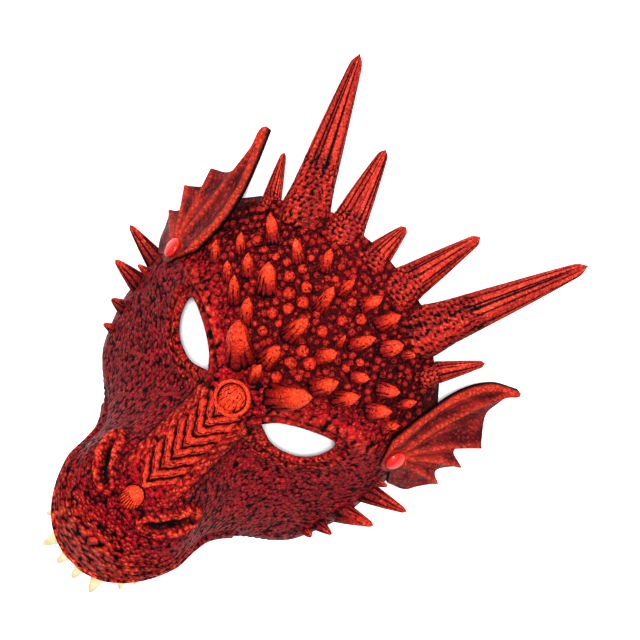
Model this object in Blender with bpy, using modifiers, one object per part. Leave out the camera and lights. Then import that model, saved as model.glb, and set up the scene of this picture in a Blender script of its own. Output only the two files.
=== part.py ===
# Dragon half mask: one moulded foam shell with horns, cheek spikes, snout and teeth,
# two bat-wing ear fins, and the two domed rivets that hold the fins at the temples.
# The mask lies on the back rim of its cheeks: the face looks up, the crown points to +Y.
import math

import bmesh
import bpy
from mathutils import Vector
from mathutils.bvhtree import BVHTree

# Named sizes, metres
FACE_WIDTH = 0.176
FACE_LENGTH = 0.240
FACE_DEPTH = 0.108
WALL = 0.0045
GAP = 0.0003
FIN_THICKNESS = 0.003
FIN_RIB_HEIGHT = 0.0016
FIN_TAB_RADIUS = 0.0085
SEAT_RADIUS = 0.009
SEAT_HEIGHT = 0.0016
RIVET_HEAD_DIAMETER = 0.0115
RIVET_HEAD_HEIGHT = 0.0028
RIVET_SHANK_DIAMETER = 0.004
RIVET_TAIL_DIAMETER = 0.009
RIVET_TAIL_THICKNESS = 0.0014
RIVET_BORE_DIAMETER = 0.0046
RIVET_BORE_REACH = 0.02
BOSS_DIAMETER = 0.0195
NOSE_BUMP_DIAMETER = 0.0112
PLATE_WIDTH = 0.021
PLATE_HEIGHT = 0.0018
CHEVRON_COUNT = 8
CHEVRON_HEIGHT = 0.0013
CHEVRON_SLOPE = 1.25
NOSTRIL_LENGTH = 0.017
NOSTRIL_WIDTH = 0.0048
NOSTRIL_DEPTH = 0.0036
NOSTRIL_RIM = (0.0035, 0.0032, 0.0036)
NOSTRIL_RIM_SINK = 0.0006
NOSTRIL_LIFT = 0.0024
BACK_CUT_REACH = 0.3
BACK_CUT_DEPTH = 0.05
EYE_CUT_REACH = 0.04

# Angles in degrees, and shares of a horn's width
HORN_LEAN = 47
HORN_GROOVE = 0.84
HORN_TIP = 0.35
STEEPEST_SEAT = 0.35
NEARLY_UPRIGHT = 0.05

# Counts that set how finely curves are followed
RIB_ROWS = 22
RIB_COLUMNS = 10
SIDES = 16
EYE_POINTS = 22
LIP_POINTS = 160

# Colours of the plain solids
SHELL_PAINT = (0.42, 0.02, 0.02, 1)
FIN_PAINT = (0.36, 0.05, 0.03, 1)
RIVET_PAINT = (0.5, 0.01, 0.01, 1)

# The free form is drawn on a grid of this width, length and depth and stretched to the sizes.
GRID = (176, 240, 108)
SCALE = FACE_WIDTH / GRID[0]

# Half sections of the face, crown to lip, each from the midline out to the rim.
RIBS = (
    ((0, 98, 46), (9, 97.5, 46), (18, 96, 45.5), (28, 93.5, 44), (38, 89.5, 42.5),
     (48, 83, 39.5), (59, 71.5, 33), (67, 62, 17)),
    ((0, 78, 59), (14, 77.5, 58), (28, 74, 55), (42, 69, 49), (55, 60.5, 41.5),
     (66, 52.5, 32), (76, 45, 20), (80, 41, 2)),
    ((0, 50, 71), (16, 50, 70), (32, 48, 65), (47, 44, 57), (61, 38, 47),
     (74, 31, 34), (84, 26, 19), (88, 24, -6)),
    ((0, 25, 79), (16, 25, 77), (32, 24, 71), (47, 20, 62), (61, 14, 51),
     (75, 6, 36), (85, 1, 18), (89, -1, -8)),
    ((0, 4, 84), (13, 5, 80), (26, 7, 71), (42, 6, 60), (58, 0, 49),
     (74, -9, 33), (85, -14, 16), (89, -16, -8)),
    ((0, -15, 88), (12, -13, 83), (20, -12, 70), (36, -10, 58), (54, -13, 46),
     (72, -22, 29), (84, -27, 13), (89, -29, -8)),
    ((0, -32, 94), (13, -32, 89), (22, -31, 71), (36, -33, 54), (52, -37, 40),
     (70, -42, 23), (83, -44, 9), (88, -45, -8)),
    ((0, -48, 101), (16, -48, 97), (25, -50, 80), (35, -54, 58), (50, -58, 38),
     (66, -60, 20), (79, -61, 6), (84, -62, -8)),
    ((0, -62, 106), (18, -62, 103), (30, -65, 88), (36, -70, 66), (45, -74, 44),
     (58, -76, 23), (71, -77, 8), (78, -78, -7)),
    ((0, -75, 108), (20, -76, 105), (33, -78, 93), (38, -81, 74), (40, -84, 56),
     (46, -86, 36), (56, -87, 17), (66, -87, 2)),
    ((0, -90, 107), (20, -90, 104), (34, -90, 93), (39.5, -91, 80), (41, -91, 68),
     (41, -90.5, 56), (41.5, -90, 44), (43, -89, 30)),
    ((0, -105, 103), (18, -105, 101), (32, -103.5, 92), (38, -102, 83), (40, -101, 75.5),
     (40.5, -100.5, 69.5), (40, -100, 64), (38.5, -99, 58)),
    ((0, -119, 95), (16, -118, 93), (27, -115.5, 87.5), (32.5, -113.5, 82), (35, -112, 77),
     (36, -111.5, 73), (36, -111, 69), (35, -110, 65)),
    ((0, -131, 86), (12, -130.5, 85), (20.5, -128, 82.5), (25.5, -125, 80), (28.5, -122.5, 77.5),
     (30.2, -121, 75), (30.8, -120, 72.8), (30.5, -119, 70.5)),
    ((0, -137.5, 79), (8, -137, 79), (14.5, -135, 78), (18.5, -132.7, 77), (21, -131, 76),
     (22.7, -130, 75), (23.6, -129, 74), (24, -128, 73)),
    ((0, -141, 74), (6, -140.5, 74), (10.5, -139, 73.7), (13.5, -137.3, 73.4), (15.8, -135.6, 73),
     (17.5, -134, 72.6), (19, -132.6, 72.3), (20, -131.5, 72)),
)

# Raised bands on the face: path, half width and height. Brow band and lower lid of one side.
BANDS = (
    (((20, 4), (30, 12), (44, 18), (58, 20), (68, 16)), 5.5, 3.0),
    (((18, -12), (30, -19), (44, -19), (54, -10), (60, 2)), 4.0, 1.6),
)

# Horns on the forehead: place across and along, heading in degrees from the crown towards
# the wearer's left, length and width. They all lean the same way off the face.
FOREHEAD_HORNS = (
    (-12, 16, -25, 28, 15), (15, 15, 25, 28, 15), (0, 14, -5, 14, 7), (-1, 25, 0, 16, 10),
    (-2, 42, 5, 18, 10), (-1, 61, -10, 17, 8), (1, 73, 0, 12, 6), (-23, 30, -20, 17, 8),
    (26, 32, 15, 16, 10), (-35, 31, -25, 16, 7), (38, 33, 20, 14, 9), (-46, 34, -30, 10, 6),
    (54, 36, 35, 12, 9), (-58, 32, -20, 12, 6), (65, 32, 30, 8, 6), (-40, 44, -30, 12, 7),
    (36, 47, 45, 8, 7), (-52, 46, -30, 10, 6), (50, 48, 50, 10, 9), (63, 45, 25, 9, 6),
    (-43, 63, -50, 14, 8), (37, 66, 25, 10, 10), (-26, 68, -50, 12, 7), (46, 68, 40, 6, 6),
    (-14, 75, -20, 12, 7), (14, 76, 15, 12, 8), (26, 74, 15, 13, 8), (-27, 48, -30, 16, 11),
    (24, 59, 20, 14, 8), (17, 45, 20, 11, 9), (19, 54, -20, 10, 4),
)

# Round nodules between them: place across and along, then the diameter.
NODULES = (
    (-48, 56, 5.6), (-42, 57, 4.1), (-35, 60, 4.1), (-29, 63, 4.5), (-21, 67, 5.0), (-23, 60, 6.0),
    (-13, 63, 6.0), (-9, 57, 6.5), (-17, 55, 6.5), (-12, 50, 6.0), (-16, 43, 6.0), (-10, 42, 4.0),
    (-13, 34, 5.5), (0, 58, 4.0), (-6, 75, 4.0), (-22, 73, 4.0), (8, 73, 5.0), (17, 70, 6.0),
    (11, 64, 5.5), (8, 54, 6.0), (8, 41, 6.5), (15, 39, 7.0), (8, 33, 6.5), (16, 30, 4.0),
    (8, 23, 6.0), (29, 48, 4.5), (32, 54, 4.5),
)

# Crown horns: root, tip and width.
CROWN_HORNS = (
    ((0, 90, 45), (0, 113, 36), 18),
    ((-20, 89, 42), (-35, 133, 32), 21), ((20, 90, 42), (30, 136, 32), 22),
    ((-43, 83, 38), (-79, 156, 22), 25), ((45, 84, 38), (78, 163, 24), 26),
    ((-58, 66, 30), (-73, 90, 22), 12), ((61, 63, 30), (78, 87, 22), 14),
)

# Cheek spikes: root, tip and width.
CHEEK_SPIKES = (
    ((-85, -11, 10), (-110, -8, 8), 13), ((-84, -28, 10), (-103, -29, 8), 13),
    ((-80, -45, 9), (-90, -48, 7), 11), ((-75, -59, 7), (-84, -63, 6), 9),
    ((-82, -17, 15), (-91, -18, 15), 7), ((85, -18, 10), (108, -10, 8), 13),
    ((84, -37, 10), (101, -30, 8), 13), ((78, -62, 6), (82, -62, 9), 8),
    ((82, -7, 18), (90, -3, 18), 7), ((80, -53, 9), (89, -52, 8), 8),
)

# Upper teeth of one side, front to back: distance along the lip from the midline, length and width.
TEETH = ((6, 12, 7.5), (17, 17, 9), (31, 11, 6), (39, 9, 5), (47, 8, 4.5), (58, 6, 4), (70, 6, 4),
         (86, 8, 5))

# The lip ends behind the mouth's corner, at this share of the face's length from the eyes.
LIP_CORNER = -0.33
TOOTH_AIM_FRONT = Vector((0.0, -0.97, -0.24))
TOOTH_AIM_SIDE = Vector((0.4, -0.88, -0.25))

# Ear fins: the rivet's place, the front ridge, the four points of the edge with the valleys
# between them, the lower end, and the lowest point of the root.
FINS = {
    "left": (
        (79, 18, 33),
        ((73, 28, 41), (75, 50, 41), (79, 73, 40), (87, 88, 40), (99, 95, 38)),
        ((97, 71, 28), (108, 52, 20), (100, 39, 17), (109, 33, 12), (102, 22, 13), (107, 16, 11)),
        ((97, 2, 17), (88, 2, 26)),
    ),
    "right": (
        (-76, 14, 36),
        ((-69, 26, 47), (-69, 46, 45), (-73, 64, 39), (-79, 78, 32), (-87, 94, 24)),
        ((-87, 62, 18), (-96, 51, 11), (-93, 42, 12), (-101, 32, 8), (-95, 22, 11), (-98, 16, 10)),
        ((-91, 4, 19), (-85, 1, 27)),
    ),
}

# One eye hole's edge seen from the front, and the way the hole is cut.
EYE_EDGE = ((19, -5, 73), (31, -14, 61), (44, -13, 52), (52, -3, 51), (53, 10, 56), (40, 8, 62),
            (26, 2, 69))
EYE_CUT = Vector((0.0, 0.37, 0.93))
NOSTRIL_ENDS = ((27, -65, 93), (17, -73, 106))
BOSS_PLACE = (0, 0)
NOSE_BUMP_PLACE = (0, -68)
PLATE_ENDS = (-9.5, -61)


def at(x, y, z):
    """A place on the drawing grid, in metres."""
    return Vector((x * FACE_WIDTH / GRID[0], y * FACE_LENGTH / GRID[1], z * FACE_DEPTH / GRID[2]))


def spread(points, count):
    """Evenly shared places on a smooth curve through the points."""
    last = len(points) - 1
    out = []
    for step in range(count):
        place = step * last / (count - 1)
        i = min(int(place), last - 1)
        f = place - i
        p1 = points[i]
        p2 = points[i + 1]
        p0 = points[i - 1] if i > 0 else p1 * 2 - p2
        p3 = points[i + 2] if i + 2 <= last else p2 * 2 - p1
        out.append(
            (p1 * 2 + (p2 - p0) * f + (p0 * 2 - p1 * 5 + p2 * 4 - p3) * f * f
             + (p1 * 3 - p0 - p2 * 3 + p3) * f ** 3) * 0.5
        )
    return out


def add_object(name, points, faces, collection, hidden):
    """A mesh object with its faces turned outwards."""
    mesh = bpy.data.meshes.new(name)
    mesh.from_pydata([tuple(p) for p in points], [], faces)
    work = bmesh.new()
    work.from_mesh(mesh)
    bmesh.ops.recalc_face_normals(work, faces=work.faces)
    work.to_mesh(mesh)
    work.free()
    obj = bpy.data.objects.new(name, mesh)
    collection.objects.link(obj)
    if hidden:
        obj.hide_render = True
        obj.display_type = "WIRE"
    return obj


def loft(name, rings, ends, collection):
    """A closed solid through rings of equal count, each end drawn to a point."""
    sides = len(rings[0])
    points = [p for ring in rings for p in ring]
    faces = []
    for r in range(len(rings) - 1):
        for s in range(sides):
            a = r * sides + s
            b = r * sides + (s + 1) % sides
            faces.append((a, b, b + sides, a + sides))
    for end, base in ((ends[0], 0), (ends[1], (len(rings) - 1) * sides)):
        points.append(end)
        tip = len(points) - 1
        for s in range(sides):
            faces.append((base + s, base + (s + 1) % sides, tip))
    return add_object(name, points, faces, collection, True)


def frame_of(axis):
    """Two directions square to an axis, the first lying level."""
    axis = axis.normalized()
    level = axis.cross(Vector((0, 0, 1)))
    if level.length < NEARLY_UPRIGHT:
        level = Vector((1, 0, 0)) - axis * axis.x
    level.normalize()
    return level, axis.cross(level).normalized()


def horn(name, root, tip, width, profile, sides, groove, flat, collection, seat=None):
    """A tapered, grooved horn. The profile gives shares of the length and of the half width.

    With a seat, the first ring lies in the plane through the root square to the seat."""
    level, upward = frame_of(tip - root)
    cap = profile[-1][1] * width * HORN_TIP
    reach = 1 - cap / (tip - root).length
    rings = []
    for along, share in profile:
        centre = root.lerp(tip, along * reach)
        ring = []
        for s in range(sides):
            turn = 2 * math.pi * s / sides
            radius = width / 2 * share * (groove if s % 2 else 1)
            ring.append(
                centre + level * math.cos(turn) * radius + upward * math.sin(turn) * radius * flat
            )
        rings.append(ring)
    first = root.lerp(tip, profile[0][0] * reach)
    if seat is not None:
        lean = (tip - root).normalized()
        steep = max(STEEPEST_SEAT, lean.dot(seat))
        rings[0] = [p - lean * ((p - root).dot(seat) / steep) for p in rings[0]]
    return loft(name, rings, (first, tip), collection)


def turned(name, centre, axis, profile, sides, collection, squeeze=1.0):
    """A solid turned about an axis. The profile gives radius and height pairs from base to top."""
    level, upward = frame_of(axis)
    axis = axis.normalized()
    rings = []
    for radius, height in profile[1:-1]:
        rings.append([
            centre + axis * height + level * math.cos(2 * math.pi * s / sides) * radius
            + upward * math.sin(2 * math.pi * s / sides) * radius * squeeze
            for s in range(sides)
        ])
    ends = (centre + axis * profile[0][1], centre + axis * profile[-1][1])
    return loft(name, rings, ends, collection)


def ball(name, centre, directions, radii, collection):
    """An egg shape with three half lengths along three directions."""
    rows = 5
    sides = 12
    rings = []
    for r in range(1, rows + 1):
        tilt = math.pi * r / (rows + 1)
        ring = []
        for s in range(sides):
            turn = 2 * math.pi * s / sides
            ring.append(
                centre + directions[0] * math.cos(turn) * math.sin(tilt) * radii[0]
                + directions[1] * math.sin(turn) * math.sin(tilt) * radii[1]
                + directions[2] * math.cos(tilt) * radii[2]
            )
        rings.append(ring)
    ends = (centre + directions[2] * radii[2], centre - directions[2] * radii[2])
    return loft(name, rings, ends, collection)


def distance_to_path(x, y, path):
    """How far a point seen from the front lies from a path."""
    best = math.inf
    for (ax, ay), (bx, by) in zip(path, path[1:]):
        span = (bx - ax) ** 2 + (by - ay) ** 2
        share = max(0.0, min(1.0, ((x - ax) * (bx - ax) + (y - ay) * (by - ay)) / span))
        best = min(best, math.hypot(x - ax - share * (bx - ax), y - ay - share * (by - ay)))
    return best


def face_grid():
    """The outer face of one half, as rows from crown to lip, with the brow and lid bands."""
    sections = [spread([Vector(p) for p in rib], RIB_COLUMNS) for rib in RIBS]
    columns = [spread(list(column), RIB_ROWS) for column in zip(*sections)]
    rows = [list(row) for row in zip(*columns)]
    for row in rows:
        row[0].x = 0.0
        for point in row:
            for path, half, height in BANDS:
                away = distance_to_path(point.x, point.y, path) / half
                point.z += height * math.exp(-away * away)
    return [[at(*point) for point in row] for row in rows]


def make_shell(name, rows, material):
    """The half face mirrored and given its wall."""
    columns = len(rows[0])
    points = [p for row in rows for p in row]
    faces = []
    for r in range(len(rows) - 1):
        for c in range(columns - 1):
            a = r * columns + c
            faces.append((a, a + columns, a + columns + 1, a + 1))
    mesh = bpy.data.meshes.new(name)
    mesh.from_pydata([tuple(p) for p in points], [], faces)
    shell = bpy.data.objects.new(name, mesh)
    bpy.context.scene.collection.objects.link(shell)
    mesh.materials.append(material)
    mirror = shell.modifiers.new("Other half", "MIRROR")
    mirror.use_clip = True
    mirror.merge_threshold = 0.0001
    wall = shell.modifiers.new("Wall", "SOLIDIFY")
    wall.thickness = WALL
    wall.offset = -1
    wall.use_even_offset = False
    wall.use_quality_normals = True
    split = shell.modifiers.new("Flat facets", "TRIANGULATE")
    split.quad_method = "SHORTEST_DIAGONAL"
    return shell


def outer_surface(rows):
    """Both halves of the outer face, for finding places and directions on it."""
    columns = len(rows[0])
    half = [p for row in rows for p in row]
    points = half + [Vector((-p.x, p.y, p.z)) for p in half]
    faces = []
    for r in range(len(rows) - 1):
        for c in range(columns - 1):
            a = r * columns + c
            faces.append((a, a + columns, a + columns + 1, a + 1))
            b = a + len(half)
            faces.append((b, b + 1, b + columns + 1, b + columns))
    return BVHTree.FromPolygons(points, faces)


def on_face(surface, x, y):
    """The place and the outward direction of the outer face above a point of the grid."""
    start = at(x, y, 2 * GRID[2])
    place, normal = surface.ray_cast(start, Vector((0, 0, -1)))[:2]
    if place is None:
        place, normal = surface.find_nearest(at(x, y, GRID[2] / 2))[:2]
    if normal.z < 0:
        normal = -normal
    return place, normal


def add_forehead(surface, added):
    """Blunt leaning horns and round nodules, each seated in the wall."""
    profile = ((0.0, 1.0), (0.45, 0.94), (1.0, 0.44))
    lean = math.radians(HORN_LEAN)
    for number, (x, y, heading, length, width) in enumerate(FOREHEAD_HORNS):
        place, normal = on_face(surface, x, y)
        course = Vector((math.sin(math.radians(heading)), math.cos(math.radians(heading)), 0))
        course = (course - normal * course.dot(normal)).normalized()
        root = place - normal * WALL * 0.45
        tip = place + (course * math.sin(lean) + normal * math.cos(lean)) * length * SCALE
        sides = 8 if width > 8 else 6
        wide = width * SCALE
        horn(f"forehead_horn_{number}", root, tip, wide, profile, sides, HORN_GROOVE, 1.0, added, normal)
    for number, (x, y, width) in enumerate(NODULES):
        place, normal = on_face(surface, x, y)
        half = width / 2 * SCALE
        shape = ((0, -WALL / 2), (half, -WALL / 2), (half * 0.9, half * 0.5), (0, half * 1.1))
        turned(f"nodule_{number}", place, normal, shape, 6, added)


def add_crown_and_cheeks(added):
    """Long horns round the crown and short spikes along the cheeks, flatter than they are wide."""
    crown = ((-0.12, 0.55), (0.0, 1.0), (0.32, 0.7), (0.66, 0.4), (1.0, 0.17))
    for number, (root, tip, width) in enumerate(CROWN_HORNS):
        wide = width * SCALE
        horn(f"crown_horn_{number}", at(*root), at(*tip), wide, crown, 12, HORN_GROOVE, 0.8, added)
    cheek = ((-0.12, 0.8), (0.15, 1.0), (1.0, 0.22))
    for number, (root, tip, width) in enumerate(CHEEK_SPIKES):
        wide = width * SCALE
        horn(f"cheek_spike_{number}", at(*root), at(*tip), wide, cheek, 8, HORN_GROOVE, 0.75, added)


def add_snout_features(surface, added, cutters):
    """The ringed boss between the eyes, the bump on the nose and the two nostrils."""
    place, normal = on_face(surface, *BOSS_PLACE)
    half = BOSS_DIAMETER / 2
    ring = (
        (0, -WALL / 2), (half, -WALL / 2), (half, 0.0012), (half * 0.93, 0.0024), (half * 0.8, 0.0024),
        (half * 0.72, 0.0008), (half * 0.58, 0.0026), (half * 0.3, 0.0042), (0, 0.0046),
    )
    turned("brow_boss", place, normal, ring, 16, added)
    place, normal = on_face(surface, *NOSE_BUMP_PLACE)
    half = NOSE_BUMP_DIAMETER / 2
    bump = ((0, -WALL / 2), (half, -WALL / 2), (half, 0.0015), (half * 0.6, 0.0042), (0, 0.005))
    turned("nose_bump", place, normal, bump, 10, added, 1.25)
    for side in (-1, 1):
        back, front = [at(side * x, y, z) for x, y, z in NOSTRIL_ENDS]
        middle, normal = surface.find_nearest((back + front) / 2)[:2]
        if normal.x * side < 0:
            normal = -normal
        along = (front - back).normalized()
        along = (along - normal * along.dot(normal)).normalized()
        across = normal.cross(along)
        axes = (along, across, normal)
        rim_long, rim_wide, rim_high = NOSTRIL_RIM
        mound = (NOSTRIL_LENGTH / 2 + rim_long, NOSTRIL_WIDTH / 2 + rim_wide, rim_high)
        ball(f"nostril_rim_{side}", middle - normal * NOSTRIL_RIM_SINK, axes, mound, added)
        hollow = (NOSTRIL_LENGTH / 2, NOSTRIL_WIDTH / 2, NOSTRIL_DEPTH)
        ball(f"nostril_hollow_{side}", middle + normal * NOSTRIL_LIFT, axes, hollow, cutters)


def add_plate(surface, added):
    """The raised strip on the snout with its row of chevrons, points towards the nose."""
    start, stop = PLATE_ENDS
    half = PLATE_WIDTH / 2 * GRID[0] / FACE_WIDTH
    across = (-1.0, -0.5, 0.0, 0.5, 1.0)
    lines = 2 * CHEVRON_COUNT + 1
    top = []
    bottom = []
    for line in range(lines):
        share = line / (lines - 1)
        crest = CHEVRON_HEIGHT if line % 2 else 0.0
        for side in across:
            reach = start + (stop - start) * share
            y = reach + CHEVRON_SLOPE * half * abs(side) * (1 - share * 0.35)
            y = min(start, y)
            place, normal = on_face(surface, half * side, y)
            lift = PLATE_HEIGHT * (0.55 if abs(side) == 1 else 1.0)
            top.append(place + Vector((0, 0, lift + crest)))
            bottom.append(place - Vector((0, 0, WALL / 2)))
    strips = [[line * len(across) + i for i in range(len(across))] for line in range(lines)]
    points = top + bottom
    down = len(top)
    faces = []
    for a, b in zip(strips, strips[1:]):
        for i in range(len(across) - 1):
            faces.append((a[i], a[i + 1], b[i + 1], b[i]))
            faces.append((a[i] + down, b[i] + down, b[i + 1] + down, a[i + 1] + down))
        faces.append((a[0], b[0], b[0] + down, a[0] + down))
        faces.append((a[-1], a[-1] + down, b[-1] + down, b[-1]))
    for row in (strips[0], strips[-1]):
        for i in range(len(across) - 1):
            faces.append((row[i], row[i] + down, row[i + 1] + down, row[i + 1]))
    work = bmesh.new()
    corners = [work.verts.new(p) for p in points]
    for face in faces:
        work.faces.new([corners[i] for i in face])
    bmesh.ops.remove_doubles(work, verts=work.verts, dist=0.00005)
    bmesh.ops.recalc_face_normals(work, faces=work.faces)
    bmesh.ops.triangulate(work, faces=work.faces)
    mesh = bpy.data.meshes.new("snout_plate")
    work.to_mesh(mesh)
    work.free()
    plate = bpy.data.objects.new("snout_plate", mesh)
    added.objects.link(plate)
    plate.hide_render = True
    plate.display_type = "WIRE"


def point_along(path, distance):
    """The place at a distance along a path, measured from its start."""
    for start, end in zip(path, path[1:]):
        step = (end - start).length
        if distance <= step:
            return start.lerp(end, distance / step)
        distance -= step
    return path[-1]


def add_teeth(rows, added):
    """Teeth stand on the lip rim from the front to the corner of the mouth."""
    lip = [row[-1] for row in rows[::-1] if row[-1].y < LIP_CORNER * FACE_LENGTH]
    edge = spread(list(rows[-1]) + lip[1:], LIP_POINTS)
    profile = ((-0.3, 0.9), (0.5, 0.85), (1.0, 0.3))
    for side in (-1, 1):
        for number, (distance, length, width) in enumerate(TEETH):
            place = point_along(edge, distance * SCALE)
            inward = Vector((-place.x, place.x / 3 + WALL, 0)).normalized()
            aim = TOOTH_AIM_FRONT.lerp(TOOTH_AIM_SIDE, min(1.0, distance / TEETH[2][0]))
            reach = aim.normalized()
            root = place + inward * WALL * 0.35 + Vector((0, 0, WALL / 8))
            tip = root + reach * length * SCALE
            root = Vector((side * root.x, root.y, root.z))
            tip = Vector((side * tip.x, tip.y, tip.z))
            horn(f"tooth_{side}_{number}", root, tip, width * SCALE, profile, 6, 1.0, 0.8, added)


def add_cutters(cutters):
    """The flat back rim and the two eye holes."""
    wide = BACK_CUT_REACH
    box = [Vector((x, y, z)) for x in (-wide, wide) for y in (-wide, wide) for z in (-BACK_CUT_DEPTH, 0)]
    sides = ((0, 1, 3, 2), (4, 6, 7, 5), (0, 4, 5, 1), (2, 3, 7, 6), (0, 2, 6, 4), (1, 5, 7, 3))
    add_object("back_plane", box, sides, cutters, True)
    for side in (-1, 1):
        edge = [Vector(p) for p in EYE_EDGE]
        closed = spread(edge + edge[:1], EYE_POINTS + 1)[:EYE_POINTS]
        ring = [at(p.x * side, p.y, p.z) for p in closed]
        middle = sum(ring, Vector()) / EYE_POINTS
        course = EYE_CUT.normalized()
        flat = [p - course * (p - middle).dot(course) for p in ring]
        reach = course * EYE_CUT_REACH
        low = [p - reach for p in flat]
        high = [p + reach for p in flat]
        loft(f"eye_hole_{side}", (low, high), (middle - reach, middle + reach), cutters)


def fin_outline(fin, pivot, normal):
    """The fin's edge all round the rivet, and for each place how near it is to a rib."""
    ridge, edge, low = [[at(*p) for p in places] for places in fin[1:]]
    outline = [(p, 1.0) for p in spread(ridge, 8)]
    points = [ridge[-1]] + edge
    for i in range(0, len(points) - 1, 2):
        scallop = spread([points[i], points[i + 1], points[i + 2]], 5)
        for number, point in enumerate(scallop[1:], 1):
            outline.append((point, 1.0 if number == 4 else (0.25 if number in (1, 3) else 0.0)))
    outline += [(low[0].lerp(points[-1], 0.45), 0.2), (low[0], 0.3), (low[1], 0.6)]
    inner = -(outline[len(outline) // 2][0] - pivot)
    inner = (inner - normal * inner.dot(normal)).normalized()
    across = normal.cross(inner)
    if across.y > 0:
        across = -across
    for turn in (60, 25, -10, -45):
        angle = math.radians(turn)
        spot = pivot + (inner * math.cos(angle) + across * math.sin(angle)) * FIN_TAB_RADIUS
        outline.append((spot, 0.0))
    return outline


def make_fin(name, fin, surface, material):
    """A webbed fin: spokes from the rivet to the edge, ribs raised, the edge scalloped."""
    guess = at(*fin[0])
    spot, normal = surface.find_nearest(guess)[:2]
    if normal.z < 0:
        normal = -normal
    pivot = spot + normal * (SEAT_HEIGHT + GAP + FIN_THICKNESS)
    outline = fin_outline(fin, pivot, normal)
    bore = RIVET_BORE_DIAMETER / 2
    tab = FIN_TAB_RADIUS * 0.76
    points = []
    for target, _ in outline:
        straight = target - pivot
        points.append(pivot + (straight - normal * straight.dot(normal)).normalized() * bore)
    shares = (0.0, 0.35, 0.7, 1.0)
    for share in shares:
        for target, rib in outline:
            straight = target - pivot
            rise = straight.dot(normal)
            flat = straight - normal * rise
            reach = tab + (flat.length - tab) * share
            height = rise * share ** 1.7 + FIN_RIB_HEIGHT * rib * min(1.0, 3 * share)
            points.append(pivot + flat.normalized() * reach + normal * height)
    count = len(outline)
    layer = len(points)
    points += [p - normal * FIN_THICKNESS for p in points]
    faces = []
    for s in range(count):
        t = (s + 1) % count
        for r in range(len(shares)):
            a = r * count + s
            b = r * count + t
            faces.append((a, a + count, b + count, b))
            faces.append((a + layer, b + layer, b + count + layer, a + count + layer))
        rim = len(shares) * count
        faces.append((s, t, t + layer, s + layer))
        faces.append((rim + s, rim + s + layer, rim + t + layer, rim + t))
    obj = add_object(name, points, faces, bpy.context.scene.collection, False)
    obj.data.materials.append(material)
    return spot, normal


def make_rivet(name, spot, normal, material):
    """A rivet turned round its own axis: domed head, shank and flat tail inside the mask."""
    under = SEAT_HEIGHT + 2 * GAP + FIN_THICKNESS
    tail = -WALL - 3 * GAP
    head = RIVET_HEAD_DIAMETER / 2
    shank = RIVET_SHANK_DIAMETER / 2
    foot = RIVET_TAIL_DIAMETER / 2
    outline = [(0.0, tail - RIVET_TAIL_THICKNESS), (foot, tail - RIVET_TAIL_THICKNESS), (foot, tail)]
    outline += [(shank, tail), (shank, under), (head, under), (head, under + RIVET_HEAD_HEIGHT * 0.25)]
    for step in range(1, 4):
        angle = math.pi / 2 * step / 4
        outline.append((
            head * math.cos(angle),
            under + RIVET_HEAD_HEIGHT * (0.25 + 0.75 * math.sin(angle)),
        ))
    outline.append((0.0, under + RIVET_HEAD_HEIGHT))
    mesh = bpy.data.meshes.new(name)
    mesh.from_pydata(
        [(r, 0.0, z) for r, z in outline], [(i, i + 1) for i in range(len(outline) - 1)], []
    )
    rivet = bpy.data.objects.new(name, mesh)
    bpy.context.scene.collection.objects.link(rivet)
    mesh.materials.append(material)
    turn = rivet.modifiers.new("Turned", "SCREW")
    turn.axis = "Z"
    turn.angle = math.tau
    turn.steps = SIDES
    turn.render_steps = SIDES
    turn.use_merge_vertices = True
    turn.merge_threshold = 0.0001
    turn.use_normal_calculate = True
    turn.use_smooth_shade = False
    rivet.location = spot
    rivet.rotation_mode = "QUATERNION"
    rivet.rotation_quaternion = Vector((0, 0, 1)).rotation_difference(normal)
    return rivet


def plain_material(name, colour, roughness):
    """A plain paint for one node."""
    material = bpy.data.materials.new(name)
    material.use_nodes = True
    shader = material.node_tree.nodes["Principled BSDF"]
    shader.inputs["Base Color"].default_value = colour
    shader.inputs["Roughness"].default_value = roughness
    material.diffuse_color = colour
    return material


def centre_on_origin():
    """Moves everything so that the middle of the bounding box stands over the origin."""
    bpy.context.view_layer.update()
    graph = bpy.context.evaluated_depsgraph_get()
    low = Vector((math.inf, math.inf, math.inf))
    high = -low
    for obj in bpy.context.scene.objects:
        if obj.type != "MESH" or obj.hide_render:
            continue
        shown = obj.evaluated_get(graph)
        mesh = shown.to_mesh()
        for vertex in mesh.vertices:
            place = shown.matrix_world @ vertex.co
            for axis in range(3):
                low[axis] = min(low[axis], place[axis])
                high[axis] = max(high[axis], place[axis])
        shown.to_mesh_clear()
    shift = Vector(((low.x + high.x) / 2, (low.y + high.y) / 2, low.z))
    for obj in bpy.context.scene.objects:
        obj.location = obj.location - shift
    bpy.context.view_layer.update()


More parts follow.
